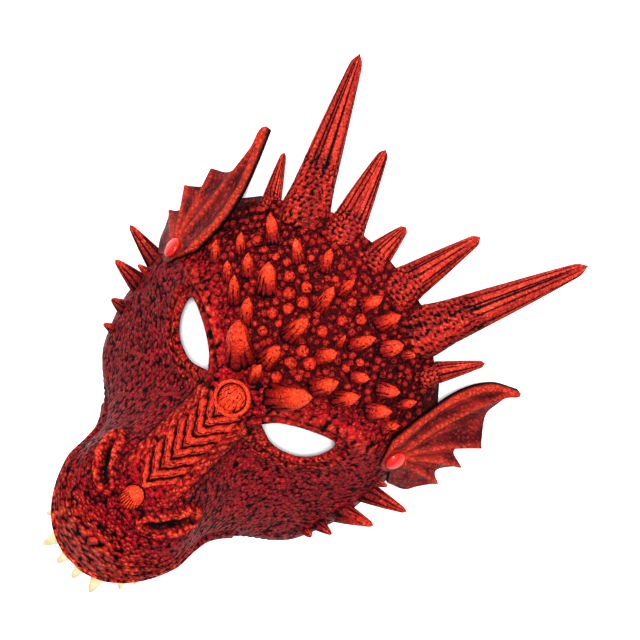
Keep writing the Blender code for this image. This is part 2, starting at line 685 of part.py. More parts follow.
def main():
    """Builds the shell with what is added and cut, then the fins and rivets."""
    for obj in list(bpy.data.objects):
        bpy.data.objects.remove(obj, do_unlink=True)
    added = bpy.data.collections.new("added")
    cutters = bpy.data.collections.new("cutters")
    for collection in (added, cutters):
        bpy.context.scene.collection.children.link(collection)
        collection.hide_render = True
    rows = face_grid()
    surface = outer_surface(rows)
    shell = make_shell("mask_shell", rows, plain_material("shell_paint", SHELL_PAINT, 0.45))
    add_forehead(surface, added)
    add_crown_and_cheeks(added)
    add_snout_features(surface, added, cutters)
    add_plate(surface, added)
    add_teeth(rows, added)
    add_cutters(cutters)
    for side in ("left", "right"):
        web = plain_material(f"fin_paint_{side}", FIN_PAINT, 0.4)
        spot, normal = make_fin(f"fin_{side}", FINS[side], surface, web)
        seat = ((0, -WALL / 2), (SEAT_RADIUS, -WALL / 2), (SEAT_RADIUS, SEAT_HEIGHT), (0, SEAT_HEIGHT))
        turned(f"fin_seat_{side}", spot, normal, seat, 16, added)
        half = RIVET_BORE_DIAMETER / 2
        long = RIVET_BORE_REACH
        drill = ((0, -long), (half, -long), (half, long), (0, long))
        turned(f"shell_bore_{side}", spot, normal, drill, 16, cutters)
        gloss = plain_material(f"rivet_gloss_{side}", RIVET_PAINT, 0.12)
        make_rivet(f"rivet_{side}", spot, normal, gloss)
    union = shell.modifiers.new("Horns and relief", "BOOLEAN")
    union.operation = "UNION"
    union.solver = "EXACT"
    union.operand_type = "COLLECTION"
    union.collection = added
    cut = shell.modifiers.new("Back plane and openings", "BOOLEAN")
    cut.operation = "DIFFERENCE"
    cut.solver = "EXACT"
    cut.operand_type = "COLLECTION"
    cut.collection = cutters
    split = shell.modifiers.new("Facets", "TRIANGULATE")
    split.ngon_method = "BEAUTY"
    centre_on_origin()


main()
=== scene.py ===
# Dragon half mask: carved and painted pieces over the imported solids, in millimetres until a mesh is made.
import math

import bmesh
import bpy
import numpy as np
from mathutils import Matrix, Vector
from mathutils.bvhtree import BVHTree
from mathutils.kdtree import KDTree


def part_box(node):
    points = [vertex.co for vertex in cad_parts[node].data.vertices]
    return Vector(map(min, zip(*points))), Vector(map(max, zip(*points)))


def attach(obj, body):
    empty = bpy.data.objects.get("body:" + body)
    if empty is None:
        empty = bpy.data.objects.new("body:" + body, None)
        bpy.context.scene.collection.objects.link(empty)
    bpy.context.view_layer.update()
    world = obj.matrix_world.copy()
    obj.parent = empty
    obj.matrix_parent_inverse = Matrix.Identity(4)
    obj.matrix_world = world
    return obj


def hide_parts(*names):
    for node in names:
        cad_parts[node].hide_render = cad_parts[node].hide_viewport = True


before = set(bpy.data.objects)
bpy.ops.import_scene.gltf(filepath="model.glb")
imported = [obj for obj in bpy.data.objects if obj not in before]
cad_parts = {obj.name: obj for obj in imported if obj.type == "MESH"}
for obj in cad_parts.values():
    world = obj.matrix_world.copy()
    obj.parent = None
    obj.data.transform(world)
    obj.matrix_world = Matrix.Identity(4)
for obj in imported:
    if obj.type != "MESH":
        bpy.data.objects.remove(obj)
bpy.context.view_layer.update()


# From 0 at low to 1 at high, softly
def ease(low, high, value):
    share = np.clip((value - low) / (high - low), 0, 1)
    return share * share * (3 - 2 * share)


# One between two soft edges, each a pair of limits
def window(first, last, value):
    return ease(*first, value) * ease(*last, value)


# One at zero, falling away on both sides
def hump(value, width):
    return np.exp(-(value / width) ** 2)


# A ridge at a distance from its line, given as that distance and its width
def ridgeAt(away, shape):
    return hump(away - shape[0], shape[1])


def limited(value):
    return np.clip(value, 0, 1)


# A wave with sharp valleys, from 0 in the middle of a gap to 1 in the middle of a stripe
def stripes(phase):
    return np.abs(phase % 1 - 0.5) * 2


def unit(vectors, guard=1e-9):
    return vectors / np.maximum(np.linalg.norm(vectors, axis=-1, keepdims=True), guard)


# Evenly shared places on a smooth curve through points, along the first axis
def spread(points, count):
    points = np.asarray(points, float)
    last = len(points) - 1
    place = np.linspace(0, last, count)
    i = np.minimum(place.astype(int), last - 1)
    f = (place - i).reshape((-1,) + (1,) * (points.ndim - 1))
    padded = np.concatenate([2 * points[:1] - points[1:2], points, 2 * points[-1:] - points[-2:-1]])
    p0 = padded[i]
    p1 = padded[i + 1]
    p2 = padded[i + 2]
    p3 = padded[i + 3]
    square = (2 * p0 - 5 * p1 + 4 * p2 - p3) * f ** 2
    return 0.5 * (2 * p1 + (p2 - p0) * f + square + (3 * p1 - p0 - 3 * p2 + p3) * f ** 3)


def pathDistance(points, path):
    best = np.full(points.shape[:-1], np.inf)
    path = np.asarray(path, float)
    for start, end in zip(path[:-1], path[1:]):
        span = end - start
        share = limited(((points - start) @ span) / (span @ span))
        away = np.linalg.norm(points - start - share[..., None] * span, axis=-1)
        best = np.minimum(best, away)
    return best


def writeValues(mesh, values):
    for key, column in values.items():
        layer = mesh.attributes.new(key, "FLOAT", "POINT")
        layer.data.foreach_set("value", np.asarray(column, np.float32))


def fillMesh(name, points, faces, values):
    mesh = bpy.data.meshes.new(name)
    mesh.from_pydata(points.tolist(), [], faces)
    writeValues(mesh, values)
    mesh.shade_smooth()
    return bpy.data.objects.new(name, mesh)


# A shown mesh from millimetre points on the drawing grid, with named values on its points
def makeObject(name, points, faces, values=None):
    obj = fillMesh(name, (np.asarray(points) + shift) / 1000, faces, values or {})
    bpy.context.scene.collection.objects.link(obj)
    return obj


# How brightly and how darkly the shown points are painted, and the hidden points after them
def paintValues(rise, sink, hiddenRise, hiddenSink):
    return {
        "rise": np.concatenate([rise.ravel(), hiddenRise]),
        "sink": np.concatenate([sink.ravel(), hiddenSink]),
    }


# Several closed forms gathered into one mesh
class Gathered:
    def __init__(self):
        self.points = []
        self.faces = []
        self.values = {}
        self.count = 0

    def add(self, points, faces, values):
        self.points.append(points)
        self.faces += [tuple(i + self.count for i in face) for face in faces]
        for key, column in values.items():
            self.values.setdefault(key, []).append(column)
        self.count += len(points)

    def finish(self, name):
        values = {key: np.concatenate(columns) for key, columns in self.values.items()}
        return makeObject(name, np.concatenate(self.points), self.faces, values)


# Faces of a tube of rings, closed by a point at each end
def tubeFaces(rings, sides):
    faces = []
    for r in range(rings - 1):
        for s in range(sides):
            t = (s + 1) % sides
            faces.append((r * sides + s, r * sides + t, (r + 1) * sides + t, (r + 1) * sides + s))
    first = rings * sides
    top = (rings - 1) * sides
    for s in range(sides):
        t = (s + 1) % sides
        faces.append((t, s, first))
        faces.append((top + s, top + t, first + 1))
    return faces


def gridFaces(rows, columns, offset=0, flip=False):
    faces = []
    for r in range(rows - 1):
        for c in range(columns - 1):
            a = offset + r * columns + c
            quad = (a, a + columns, a + columns + 1, a + 1)
            faces.append(quad[::-1] if flip else quad)
    return faces


def around(sides):
    return np.linspace(0, 2 * math.pi, sides, endpoint=False)


# Two directions square to an axis, the first of them level
def sideways(axis, nearlyUpright=0.05):
    level = np.cross(axis, (0.0, 0.0, 1.0))
    if np.linalg.norm(level) < nearlyUpright:
        level = np.array((1.0, 0.0, 0.0)) - axis * axis[0]
    level = unit(level)
    return level, np.cross(axis, level)


# Turns what the modifiers make into a plain mesh
def bakeModifiers(obj):
    bpy.context.view_layer.update()
    shown = obj.evaluated_get(bpy.context.evaluated_depsgraph_get())
    mesh = bpy.data.meshes.new_from_object(shown)
    obj.modifiers.clear()
    old = obj.data
    obj.data = mesh
    bpy.data.meshes.remove(old)
    mesh.shade_smooth()


# The face. Ridges and grooves are given as their distance from a line and their width.
face = {
    "rows": 271,
    "columns": 126,
    "liningStep": 5,
    "seatStep": 3,
    "seatHeights": (300, 50),
    "wall": 4.5,
    "brows": (
        {"path": ((20, 4), (30, 12), (44, 18), (58, 20), (68, 16)), "width": 5.5, "height": 3.0},
        {"path": ((18, -12), (30, -19), (44, -19), (54, -10), (60, 2)), "width": 4.0, "height": 1.6},
    ),
    "browPaint": 0.8,
    "eyeEdge": ((19, -5, 73), (31, -14, 61), (44, -13, 52), (52, -3, 51), (53, 10, 56), (40, 8, 62),
                (26, 2, 69)),
    "eyePoints": 40,
    "eyeRim": (2.2, 1.6),
    "eyeGroove": (5.4, 0.9),
    "eyeFold": (8.0, 1.6),
    "eyeCut": {"course": (0.0, 0.37, 0.93), "points": 64, "reach": 40},
    "backCut": {"reach": 300, "depth": 50},
    "lip": {"section": 10, "step": 4, "band": 9.5, "edge": (-1, 0.5), "gap": 1.1, "groove": 0.9,
            "front": (-92, -100), "still": (0, 1.2)},
    "folds": {"pitch": 5.2, "width": 1.15, "first": (0.5, 1.0), "last": (5.4, 4.4),
              "along": (-80, -90), "across": (12, 22)},
    "nostril": {"back": (29.5, -61, 88), "tip": (15.5, -75, 107), "points": 8, "narrow": 0.7, "swell": 2.1,
                "lead": 0.8, "floor": 0.6, "edge": 0.7, "rim": (2.6, 2.1), "rimShare": 0.55,
                "rimAlong": (0.8, 0.3), "groove": (6.6, 1.1)},
    "bars": {"across": ((10.5, 11.5), (17.5, 16)), "along": ((-6, -9), (-62, -56)), "pitch": 5.4,
             "slant": 1.35, "gap": (0.45, 0.15), "rail": (17.8, 1.0), "railAlong": ((-2, -8), (-64, -58))},
    "forehead": {"edge": (14, 24), "slant": 0.25, "fine": 0.6},
    "snout": (-84, -98),
    "snoutFront": {"along": (-96, -104), "across": (32, 24)},
    "bigBrow": {"share": 0.7, "along": (-6, 2)},
}

# What each carved form does: millimetres it stands out, how far it is brushed and how far it is blackened
carving = {
    "lip": (1.3, 0, 0),
    "lipFront": (0, 0.8, 0),
    "lipGroove": (-0.9, 0, 0.8),
    "snoutFolds": (-1.5, 0, 0.97),
    "eyeRim": (1.1, 0.3, 0),
    "eyeGroove": (-0.7, 0, 0.75),
    "eyeFold": (0.8, 0.1, 0),
    "slit": (-3.7, 0, 1.6),
    "slitRim": (3.0, 0.85, 0),
    "slitGroove": (-0.6, 0, 0.6),
    "bars": (0.9, 0, 0),
    "barStrip": (0, 0.35, 0),
    "barGaps": (0, 0, 0.8),
    "rails": (-0.5, 0, 0.7),
    "brow": (0, 0.4, 0),
    "snout": (0, 0.3, 0),
    "snoutFront": (0, 0.25, 0),
    "forehead": (0, 0, 0.74),
}

# Half sections of the face, crown to lip, each from the midline out to the rim
faceSections = (
    ((0, 98, 46), (9, 97.5, 46), (18, 96, 45.5), (28, 93.5, 44), (38, 89.5, 42.5),
     (48, 83, 39.5), (59, 71.5, 33), (67, 62, 17)),
    ((0, 78, 59), (14, 77.5, 58), (28, 74, 55), (42, 69, 49), (55, 60.5, 41.5),
     (66, 52.5, 32), (76, 45, 20), (80, 41, 2)),
    ((0, 50, 71), (16, 50, 70), (32, 48, 65), (47, 44, 57), (61, 38, 47),
     (74, 31, 34), (84, 26, 19), (88, 24, -6)),
    ((0, 25, 79), (16, 25, 77), (32, 24, 71), (47, 20, 62), (61, 14, 51),
     (75, 6, 36), (85, 1, 18), (89, -1, -8)),
    ((0, 4, 84), (13, 5, 80), (26, 7, 71), (42, 6, 60), (58, 0, 49),
     (74, -9, 33), (85, -14, 16), (89, -16, -8)),
    ((0, -15, 88), (12, -13, 83), (20, -12, 70), (36, -10, 58), (54, -13, 46),
     (72, -22, 29), (84, -27, 13), (89, -29, -8)),
    ((0, -32, 94), (13, -32, 89), (22, -31, 71), (36, -33, 54), (52, -37, 40),
     (70, -42, 23), (83, -44, 9), (88, -45, -8)),
    ((0, -48, 101), (16, -48, 97), (25, -50, 80), (35, -54, 58), (50, -58, 38),
     (66, -60, 20), (79, -61, 6), (84, -62, -8)),
    ((0, -62, 106), (18, -62, 103), (30, -65, 88), (36, -70, 66), (45, -74, 44),
     (58, -76, 23), (71, -77, 8), (78, -78, -7)),
    ((0, -75, 108), (20, -76, 105), (33, -78, 93), (38, -81, 74), (40, -84, 56),
     (46, -86, 36), (56, -87, 17), (66, -87, 2)),
    ((0, -90, 107), (20, -90, 104), (34, -90, 93), (39.5, -91, 80), (41, -91, 68),
     (41, -90.5, 56), (41.5, -90, 44), (43, -89, 30)),
    ((0, -105, 103), (18, -105, 101), (32, -103.5, 92), (38, -102, 83), (40, -101, 75.5),
     (40.5, -100.5, 69.5), (40, -100, 64), (38.5, -99, 58)),
    ((0, -119, 95), (16, -118, 93), (27, -115.5, 87.5), (32.5, -113.5, 82), (35, -112, 77),
     (36, -111.5, 73), (36, -111, 69), (35, -110, 65)),
    ((0, -131, 86), (12, -130.5, 85), (20.5, -128, 82.5), (25.5, -125, 80), (28.5, -122.5, 77.5),
     (30.2, -121, 75), (30.8, -120, 72.8), (30.5, -119, 70.5)),
    ((0, -137.5, 79), (8, -137, 79), (14.5, -135, 78), (18.5, -132.7, 77), (21, -131, 76),
     (22.7, -130, 75), (23.6, -129, 74), (24, -128, 73)),
    ((0, -141, 74), (6, -140.5, 74), (10.5, -139, 73.7), (13.5, -137.3, 73.4), (15.8, -135.6, 73),
     (17.5, -134, 72.6), (19, -132.6, 72.3), (20, -131.5, 72)),
)


def lipRow():
    return round(face["lip"]["section"] * (face["rows"] - 1) / (len(faceSections) - 1))


def eyeLoop():
    return np.array(face["eyeEdge"] + face["eyeEdge"][:1], float)


def buildGrid():
    half = spread(np.swapaxes(np.array(faceSections, float), 0, 1), face["columns"])
    half = spread(np.swapaxes(half, 0, 1), face["rows"])
    half[:, 0, 0] = 0
    for brow in face["brows"]:
        half[..., 2] += brow["height"] * hump(pathDistance(half[..., :2], brow["path"]), brow["width"])
    other = half[:, :0:-1] * (-1, 1, 1)
    return np.concatenate([other, half], axis=1)


def gridNormals(grid):
    return unit(np.cross(np.gradient(grid, axis=0), np.gradient(grid, axis=1)))


# The nostril: a slit that swells towards its tip, its rim, and a groove round the rim
def nostrilForms(mirrored):
    nostril = face["nostril"]
    back = np.array(nostril["back"], float)
    tip = np.array(nostril["tip"], float)
    oneSide = mirrored[:, (face["columns"] - 1) // 2:].reshape(-1, 3)
    chord = [back + (tip - back) * share for share in np.linspace(0, 1, nostril["points"])]
    path = [oneSide[np.linalg.norm(oneSide - spot, axis=1).argmin()] for spot in chord]
    away = pathDistance(mirrored, path)
    place = limited(((mirrored - back) @ unit(tip - back)) / np.linalg.norm(tip - back))
    opened = np.sqrt(limited(np.sin(math.pi * place ** nostril["lead"])))
    halfWidth = nostril["narrow"] + nostril["swell"] * opened
    rimShare = nostril["rimShare"] + (1 - nostril["rimShare"]) * ease(*nostril["rimAlong"], place)
    return {
        "slit": 1 - ease(halfWidth * nostril["floor"], halfWidth + nostril["edge"], away),
        "slitRim": ridgeAt(away - halfWidth, nostril["rim"]) * rimShare,
        "slitGroove": ridgeAt(away - halfWidth, nostril["groove"]),
    }


# The share of each carved form at every point of the face, and the points' distance from the lip
def faceForms(grid):
    mirrored = grid.copy()
    mirrored[..., 0] = np.abs(mirrored[..., 0])
    x = mirrored[..., 0]
    y = mirrored[..., 1]
    lip = face["lip"]
    lipPath = np.concatenate([grid[lipRow()::lip["step"], -1], grid[-1, -1:face["columns"] - 1:-lip["step"]]])
    lipAway = pathDistance(mirrored, lipPath)
    lipShare = 1 - ease(lip["band"] + lip["edge"][0], lip["band"] + lip["edge"][1], lipAway)
    pastLip = lipAway - lip["band"] - lip["gap"]
    folds = face["folds"]
    foldPlace = pastLip / folds["pitch"]
    foldAway = (foldPlace - np.round(foldPlace)) * folds["pitch"]
    foldZone = window(folds["first"], folds["last"], foldPlace) * ease(*folds["along"], y)
    eyeAway = pathDistance(mirrored[..., :2], spread(eyeLoop(), face["eyePoints"])[:, :2])
    bars = face["bars"]
    strip = window(*bars["across"], x) * window(*bars["along"], y)
    gaps = ease(*bars["gap"], stripes((y - bars["slant"] * x) / bars["pitch"])) * strip
    brow = np.zeros_like(x)
    for band in face["brows"]:
        away = pathDistance(mirrored[..., :2], band["path"])
        brow = np.maximum(brow, hump(away, band["width"] * face["browPaint"]))
    front = face["snoutFront"]
    forms = {
        "lip": lipShare,
        "lipFront": lipShare * ease(*lip["front"], y),
        "lipGroove": hump(pastLip, lip["groove"]),
        "snoutFolds": hump(foldAway, folds["width"]) * foldZone * ease(*folds["across"], x),
        "eyeRim": ridgeAt(eyeAway, face["eyeRim"]),
        "eyeGroove": ridgeAt(eyeAway, face["eyeGroove"]),
        "eyeFold": ridgeAt(eyeAway, face["eyeFold"]),
        "bars": strip * (1 - gaps),
        "barStrip": strip,
        "barGaps": gaps,
        "rails": ridgeAt(x, bars["rail"]) * window(*bars["railAlong"], y),
        "brow": brow,
        "browTop": brow * ease(*face["bigBrow"]["along"], y),
        "snout": ease(*face["snout"], y),
        "snoutFront": ease(*front["along"], y) * ease(*front["across"], x),
        "forehead": ease(*face["forehead"]["edge"], y - face["forehead"]["slant"] * x),
    }
    forms.update(nostrilForms(mirrored))
    return forms, lipAway


# How far each point of the face stands out, how it is painted, and where the pebbles are smooth, fine or big
def faceRelief(grid):
    forms, lipAway = faceForms(grid)
    lift, rise, sink = [sum(forms[name] * does[k] for name, does in carving.items()) for k in range(3)]
    bigBrow = face["bigBrow"]["share"] * forms["browTop"]
    return {
        "smooth": limited(forms["slitRim"] * 0.45 + 0.5 * forms["barStrip"] + forms["slit"]),
        "lift": lift * ease(*face["lip"]["still"], lipAway),
        "rise": limited(rise),
        "sink": limited(sink),
        "fine": limited(forms["forehead"] * face["forehead"]["fine"] + forms["eyeRim"]),
        "big": limited(forms["snoutFront"] * (1 - forms["lip"]) + bigBrow),
    }


# One cutter: a slab under the drawing's floor, and a prism through each eye
def faceCutters():
    deep = face["backCut"]["depth"]
    wide = face["backCut"]["reach"]
    points = [(x, y, z) for x in (-wide, wide) for y in (-wide, wide) for z in (-deep, 0)]
    faces = [(0, 1, 3, 2), (4, 6, 7, 5), (0, 4, 5, 1), (2, 3, 7, 6), (0, 2, 6, 4), (1, 5, 7, 3)]
    count = face["eyeCut"]["points"]
    course = unit(np.array(face["eyeCut"]["course"]))
    reach = course * face["eyeCut"]["reach"]
    for side in (-1, 1):
        ring = spread(eyeLoop(), count + 1)[:count] * (side, 1, 1)
        flat = ring - np.outer((ring - ring.mean(0)) @ course, course)
        start = len(points)
        points += (flat - reach).tolist() + (flat + reach).tolist()
        low = [start + i for i in range(count)]
        high = [i + count for i in low]
        order = -1 if side > 0 else 1
        faces += [tuple(low[::order]), tuple(high[::-order])]
        for i in range(count):
            j = (i + 1) % count
            quad = (low[j], low[i], high[i], high[j])
            faces.append(quad[::order])
    cutter = makeObject("faceCutter", points, faces)
    work = bmesh.new()
    work.from_mesh(cutter.data)
    bmesh.ops.recalc_face_normals(work, faces=work.faces)
    work.to_mesh(cutter.data)
    work.free()
    return cutter


# Gives each point of a cut mesh the values of the nearest point before the cut
def spreadValues(mesh, points, values):
    tree = KDTree(len(points))
    for i, point in enumerate((points + shift) / 1000):
        tree.insert(point, i)
    tree.balance()
    near = np.array([tree.find(vertex.co)[1] for vertex in mesh.vertices])
    writeValues(mesh, {key: column[near] for key, column in values.items()})


# The face with its black foam lining, cut flat at the back and open at the eyes
def buildFace(grid):
    relief = faceRelief(grid)
    outer = grid + gridNormals(grid) * relief.pop("lift")[..., None]
    step = face["liningStep"]
    inner = grid[::step, ::step]
    inner = inner - gridNormals(inner) * face["wall"]
    rows, columns = grid.shape[:2]
    innerRows, innerColumns = inner.shape[:2]
    offset = rows * columns
    faces = gridFaces(rows, columns) + gridFaces(innerRows, innerColumns, offset, True)
    for j in range(innerRows - 1):
        for c, innerC, turn in ((0, 0, 1), (columns - 1, innerColumns - 1, -1)):
            fine = [(j * step + k) * columns + c for k in range(step + 1)]
            coarse = [offset + (j + 1) * innerColumns + innerC, offset + j * innerColumns + innerC]
            faces.append(tuple((fine + coarse)[::-turn]))
    for j in range(innerColumns - 1):
        for r, innerR, turn in ((0, 0, -1), (rows - 1, innerRows - 1, 1)):
            fine = [r * columns + j * step + k for k in range(step + 1)]
            coarse = [offset + innerR * innerColumns + j + 1, offset + innerR * innerColumns + j]
            faces.append(tuple((fine + coarse)[::-turn]))
    points = np.concatenate([outer.reshape(-1, 3), inner.reshape(-1, 3)])
    shell = makeObject("faceShell", points, faces)
    cutter = faceCutters()
    cut = shell.modifiers.new("Eyes and back", "BOOLEAN")
    cut.operation = "DIFFERENCE"
    cut.solver = "EXACT"
    cut.object = cutter
    bakeModifiers(shell)
    bpy.data.objects.remove(cutter, do_unlink=True)
    lining = innerRows * innerColumns
    values = {key: np.concatenate([column.ravel(), np.zeros(lining)]) for key, column in relief.items()}
    values["inside"] = np.concatenate([np.zeros(offset), np.ones(lining)])
    spreadValues(shell.data, points, values)
    return shell


# Finds the seats of horns, pebbles and rivets on the uncarved face
class Surface:
    def __init__(self, grid):
        thin = grid[::face["seatStep"], ::face["seatStep"]]
        points = [Vector(p) for p in thin.reshape(-1, 3)]
        self.tree = BVHTree.FromPolygons(points, gridFaces(*thin.shape[:2]))

    def nearest(self, point):
        place, normal = self.tree.find_nearest(Vector(point))[:2]
        return np.array(place), np.array(-normal if normal.z < 0 else normal)

    def above(self, x, y):
        sky, near = face["seatHeights"]
        place, normal = self.tree.ray_cast(Vector((x, y, sky)), Vector((0, 0, -1)))[:2]
        if place is None:
            return self.nearest((x, y, near))
        return np.array(place), np.array(-normal if normal.z < 0 else normal)


# A horn's share of its width along its length, with a flare near the foot and a blunt tip
def hornProfile(t, spec):
    high, place, wide = spec["flare"]
    thinned = spec["base"] + high * hump(t - place, wide) - spec["fall"] * t - spec["bend"] * t ** 2
    return thinned * np.sqrt(limited(1 - ease(*spec["blunt"], t) ** spec["bluntPower"]))


# Rings crowd a little towards the tip, and the last one stays just under it
ringPower = 0.85
lastRing = 0.985


# One horn as rings round a curved middle line. Its relief is a function of along and turn.
def hornForm(root, tip, width, spec, relief, bow=(0, 0, 0)):
    axis = unit(tip - root)
    length = np.linalg.norm(tip - root)
    level, upward = sideways(axis)
    along = np.linspace(0, 1, spec["rings"]) ** ringPower
    t, a = np.meshgrid(along, around(spec["sides"]), indexing="ij")
    cut, rise, sink = relief(t, a)
    radius = width / 2 * hornProfile(t, spec) * (1 - cut)
    start = spec["start"]
    reach = start + (1 - start) * t * lastRing
    centre = root + axis * (length * reach)[..., None] + np.array(bow) * (t ** 2 - t)[..., None]
    across = level * (np.cos(a) * radius)[..., None]
    ring = centre + across + upward * (np.sin(a) * radius * spec["flat"])[..., None]
    points = np.concatenate([ring.reshape(-1, 3), [root + axis * length * start, tip]])
    values = paintValues(rise, sink, (0, rise[-1].mean()), (1, sink[-1].mean()))
    return points, tubeFaces(spec["rings"], spec["sides"]), values


# Dark grooves along a horn, each with its own place, length and width
groove = {"jitter": 0.28, "widths": (0.35, 0.8), "room": 1.7, "sway": 0.25, "fadeOut": 0.25,
          "fadeIn": (-0.1, 0.05), "narrow": 0.7, "widen": 0.6}


def grooveField(t, a, spec, random, startAt):
    grooves = np.zeros_like(t)
    count = spec["grooves"]
    for i in range(count):
        place = (i + random.uniform(-groove["jitter"], groove["jitter"])) * 2 * math.pi / count
        width = random.uniform(*groove["widths"]) * groove["room"] / count
        stop = random.uniform(*spec["grooveEnds"])
        sway = random.uniform(-groove["sway"], groove["sway"])
        away = (a - place - sway * t + math.pi) % (2 * math.pi) - math.pi
        fade = ease(stop, stop - groove["fadeOut"], t)
        fade = fade * ease(startAt + groove["fadeIn"][0], startAt + groove["fadeIn"][1], t)
        grooves = np.maximum(grooves, hump(away, width * (groove["narrow"] + groove["widen"] * t)) * fade)
    return grooves


foreheadHorn = {
    "sides": 52, "rings": 28, "lean": 47, "sunk": 1.6, "foot": 1.0, "bow": -0.25, "start": 0.0, "flat": 1.0,
    "base": 1.0, "fall": 0.22, "bend": 0.38, "flare": (0.12, 0.0, 0.2), "blunt": (0.62, 1.03),
    "bluntPower": 1.6, "grooves": 10, "grooveStart": -0.2, "grooveEnds": (0.25, 0.95),
    "depth": 0.17, "seed": 4,
}

# Forehead horns: place across and along, heading in degrees, length and width
foreheadHorns = (
    (-12, 16, -25, 28, 15), (15, 15, 25, 28, 15), (0, 14, -5, 14, 7), (-1, 25, 0, 16, 10),
    (-2, 42, 5, 18, 10), (-1, 61, -10, 17, 8), (1, 73, 0, 12, 6), (-23, 30, -20, 17, 8),
    (26, 32, 15, 16, 10), (-35, 31, -25, 16, 7), (38, 33, 20, 14, 9), (-46, 34, -30, 10, 6),
    (54, 36, 35, 12, 9), (-58, 32, -20, 12, 6), (65, 32, 30, 8, 6), (-40, 44, -30, 12, 7),
    (36, 47, 45, 8, 7), (-52, 46, -30, 10, 6), (50, 48, 50, 10, 9), (63, 45, 25, 9, 6),
    (-43, 63, -50, 14, 8), (37, 66, 25, 10, 10), (-26, 68, -50, 12, 7), (46, 68, 40, 6, 6),
    (-14, 75, -20, 12, 7), (14, 76, 15, 12, 8), (26, 74, 15, 13, 8), (-27, 48, -30, 16, 11),
    (24, 59, 20, 14, 8), (17, 45, 20, 11, 9), (19, 54, -20, 10, 4),
)


def buildForehead(surface):
    random = np.random.default_rng(foreheadHorn["seed"])
    gathered = Gathered()
    lean = math.radians(foreheadHorn["lean"])
    for x, y, heading, length, width in foreheadHorns:
        place, normal = surface.above(x, y)
        course = np.array((math.sin(math.radians(heading)), math.cos(math.radians(heading)), 0))
        course = unit(course - normal * (course @ normal))
        lift = course * math.sin(lean) + normal * math.cos(lean)
        root = place - normal * foreheadHorn["sunk"] - lift * foreheadHorn["foot"]
        bow = normal * length * foreheadHorn["bow"]

        def relief(t, a):
            grooves = grooveField(t, a, foreheadHorn, random, foreheadHorn["grooveStart"])
            grooves = grooves * (0.55 + 0.45 * np.sin(a * 2.0 + t * 9 + x) ** 2)
            ripple = 0.07 * np.sin(a * 3 + t * 7 + y) * (1 - 0.6 * t)
            cut = foreheadHorn["depth"] * grooves * (1.25 - 0.9 * t) + ripple
            upperSide = 0.45 + 0.55 * ease(0.6, -0.5, np.sin(a))
            rise = (0.05 + 0.95 * ease(0.1, 0.75, t)) * upperSide * (1 - 0.9 * grooves)
            sink = 0.80 * grooves * ease(1.0, 0.45, t) + 0.6 * ease(0.18, 0.0, t)
            return cut, rise, limited(sink)

        gathered.add(*hornForm(root, place + lift * length, width, foreheadHorn, relief, bow))
    return gathered.finish("foreheadHorns")


# Crown horns: scales on the foot, grooves above them. Lengths over longFrom are scaled further up.
crownHorn = {
    "sides": 72, "rings": 100, "bow": -0.06, "start": -0.12, "flat": 0.8,
    "base": 1.0, "fall": 0.58, "bend": 0.20, "flare": (0.10, 0.08, 0.1), "blunt": (0.93, 1.01),
    "bluntPower": 2, "grooves": 15, "grooveEnds": (0.95, 1.25), "grooveLead": 0.05, "depth": 0.12, "seed": 8,
    "scaleRows": 14, "scaleColumns": 15, "rowsFor": 80, "fewestRows": 3, "longFrom": 60,
    "scaledLong": 0.42, "scaledShort": 0.36,
}

# Crown horns and cheek spikes: root, tip and width
crownHorns = (
    ((0, 90, 45), (0, 113, 36), 18),
    ((-20, 89, 42), (-35, 133, 32), 21), ((20, 90, 42), (30, 136, 32), 22),
    ((-43, 83, 38), (-79, 156, 22), 25), ((45, 84, 38), (78, 163, 24), 26),
    ((-58, 66, 30), (-73, 90, 22), 12), ((61, 63, 30), (78, 87, 22), 14),
)
cheekSpikes = (
    ((-85, -11, 10), (-110, -8, 8), 13), ((-84, -28, 10), (-103, -29, 8), 13),
    ((-80, -45, 9), (-90, -48, 7), 11), ((-75, -59, 7), (-84, -63, 6), 9),
    ((-82, -17, 15), (-91, -18, 15), 7), ((85, -18, 10), (108, -10, 8), 13),
    ((84, -37, 10), (101, -30, 8), 13), ((78, -62, 6), (82, -62, 9), 8),
    ((82, -7, 18), (90, -3, 18), 7), ((80, -53, 9), (89, -52, 8), 8),
)


# Black undersides: 0 on the upper side, 1 below
def underside(a):
    return ease(0.25, 0.8, np.sin(a))


